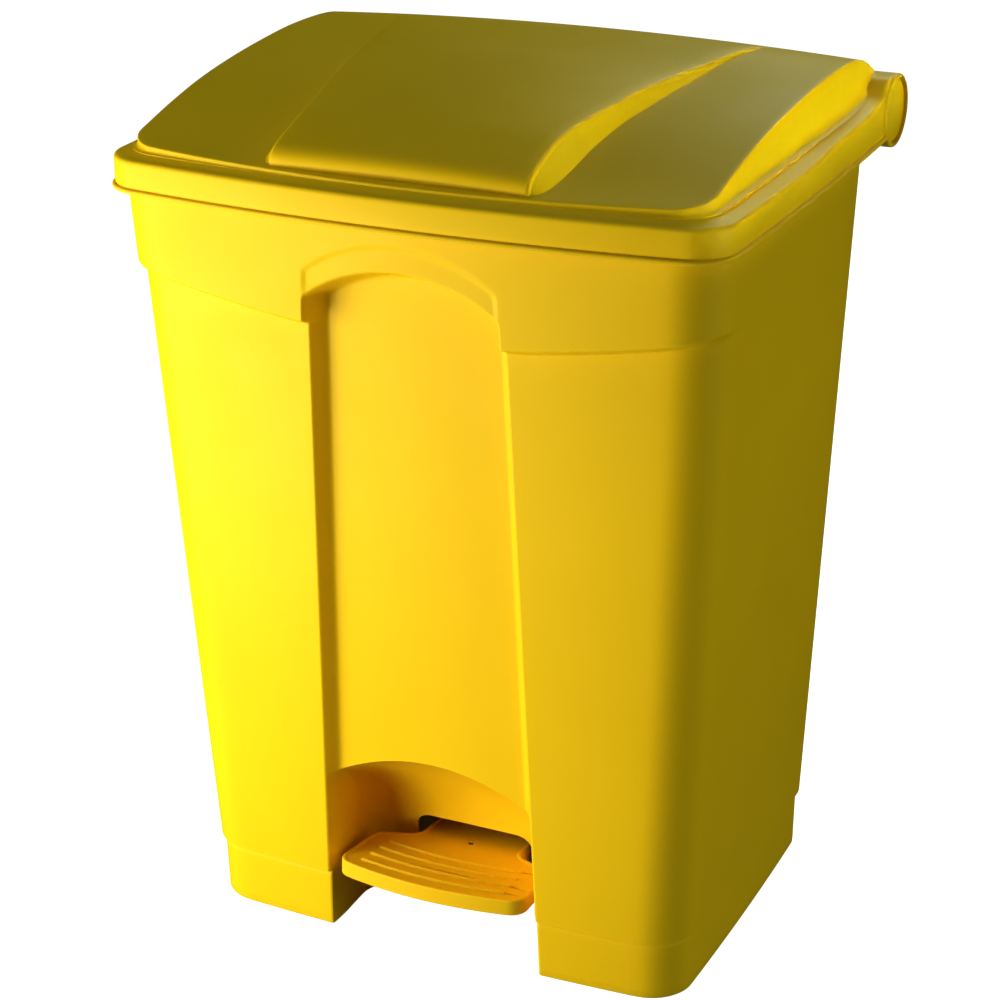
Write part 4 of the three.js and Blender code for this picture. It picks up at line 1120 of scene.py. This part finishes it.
def build_floor():
    """A glowing white floor, its glow masked out in a box under the bin as a painted contact shadow."""
    n = Nodes("studio_floor")
    haze = n.spread(n.noise(3, 3, 0.5), 0.3, 0.7, 0, 1)
    n.link(n.blend(haze, (0.80, 0.80, 0.79), (0.83, 0.83, 0.82)), n.shader.inputs["Base Color"])
    n.shader.inputs["Roughness"].default_value = 0.9
    n.shader.inputs["Specular IOR Level"].default_value = 0.0
    n.shader.inputs["Emission Color"].default_value = (1, 1, 1, 1)
    split = n.add("ShaderNodeSeparateXYZ")
    n.link(n.place, split.inputs[0])
    edges = []
    for axis, middle, half in PAINTED_SHADOW_PATCH:
        offset = n.add("ShaderNodeMath", operation="SUBTRACT")
        n.link(split.outputs[axis], offset.inputs[0])
        offset.inputs[1].default_value = middle
        size = n.add("ShaderNodeMath", operation="ABSOLUTE")
        n.link(offset.outputs[0], size.inputs[0])
        edges.append(n.spread(size.outputs[0], half, half + PAINTED_SHADOW_SOFT, 0, 1))
    outside = n.add("ShaderNodeMath", operation="MAXIMUM")
    n.link(edges[0], outside.inputs[0])
    n.link(edges[1], outside.inputs[1])
    # the glow falls to nothing inside the box, a painted shadow under the bin
    n.link(n.spread(outside.outputs[0], 0, 1, 0, 1.05), n.shader.inputs["Emission Strength"])
    corners = ((-1, -1), (1, -1), (1, 1), (-1, 1))
    floor = make("floor", [(x * FLOOR_REACH_MM, y * FLOOR_REACH_MM, FLOOR_Z_MM) for x, y in corners],
                 [[0, 1, 2, 3]])
    floor.data.materials.append(n.material)
    floor.visible_diffuse = False
    floor.visible_glossy = False


def area_light(name, at, target, width, height, power, colour, spread=180.0):
    light = bpy.data.lights.new(name, "AREA")
    light.shape = "RECTANGLE"
    light.size, light.size_y = width, height
    light.energy = power
    light.color = colour
    light.spread = math.radians(spread)
    obj = bpy.data.objects.new(name, light)
    obj.location = at
    obj.rotation_euler = (Vector(target) - Vector(at)).to_track_quat("-Z", "Y").to_euler()
    bpy.context.scene.collection.objects.link(obj)


def build_world():
    """White to the camera, and nearly dark as a light."""
    world = bpy.data.worlds.new("studio")
    world.use_nodes = True
    tree = world.node_tree
    tree.nodes.clear()
    output = tree.nodes.new("ShaderNodeOutputWorld")
    seen = tree.nodes.new("ShaderNodeBackground")
    seen.inputs["Color"].default_value = (1, 1, 1, 1)
    lit = tree.nodes.new("ShaderNodeBackground")
    lit.inputs["Color"].default_value = (0.88, 1.0, 0.86, 1)
    lit.inputs["Strength"].default_value = 0.01
    path = tree.nodes.new("ShaderNodeLightPath")
    mixer = tree.nodes.new("ShaderNodeMixShader")
    tree.links.new(path.outputs["Is Camera Ray"], mixer.inputs[0])
    tree.links.new(lit.outputs[0], mixer.inputs[1])
    tree.links.new(seen.outputs[0], mixer.inputs[2])
    tree.links.new(mixer.outputs[0], output.inputs[0])
    bpy.context.scene.world = world


def build_camera():
    """The camera that was fitted to the photo."""
    azimuth, elevation, roll = (math.radians(v) for v in CAMERA_ANGLES)
    back = Vector((math.sin(azimuth) * math.cos(elevation), -math.cos(azimuth) * math.cos(elevation),
                   math.sin(elevation)))
    right = Vector((math.cos(azimuth), math.sin(azimuth), 0))
    up = back.cross(right)
    across = right * math.cos(roll) + up * math.sin(roll)
    upright = up * math.cos(roll) - right * math.sin(roll)
    data = bpy.data.cameras.new("camera")
    data.lens = 92.546
    data.sensor_width = 36
    data.shift_x = -0.0040
    data.shift_y = 0.0012
    data.clip_end = 100
    camera = bpy.data.objects.new("camera", data)
    rows = [(across[i], upright[i], back[i], CAMERA_AT[i]) for i in range(3)]
    camera.matrix_world = Matrix((*rows, (0, 0, 0, 1)))
    bpy.context.scene.collection.objects.link(camera)
    bpy.context.scene.camera = camera


build_floor()
build_world()
area_light("key_low", (-0.60, -1.10, 0.08), (-0.05, -0.10, 0.30), 0.5, 0.15, 6.4, KEY_COLOUR)
area_light("key_near", (-0.60, -0.75, 0.20), (-0.15, -0.15, 0.30), 0.4, 0.4, 4.1, KEY_COLOUR)
area_light("key_wide", (-0.95, -0.70, 0.35), (-0.10, -0.15, 0.33), 0.5, 0.7, 5.4, KEY_COLOUR)
area_light("key_upper", (-0.54, -0.62, 0.56), (-0.23, -0.18, 0.50), 0.3, 0.3, 2.1, (0.95, 1.0, 0.85))
area_light("fill_right", (2.0, -0.2, 0.45), (0, 0, 0.33), 0.9, 0.9, 12.1, (0.87, 1.0, 0.8))
area_light("fill_top", (0, 0, 2.4), (0, 0, 0.6), 1.2, 1.2, 5.3, (0.82, 1.0, 0.8))
area_light("fill_back", (0, 1.8, 1.9), (0, 0, 0.5), 1.0, 1.0, 14.4, (0.79, 1.0, 0.8))
area_light("lid_edge", (1.25, 0.02, 0.70), (0.20, 0.02, 0.67), 0.85, 0.05, 0.16, (0.88, 1.0, 0.5), 7)
build_camera()
bpy.context.scene.view_settings.view_transform = "Standard"
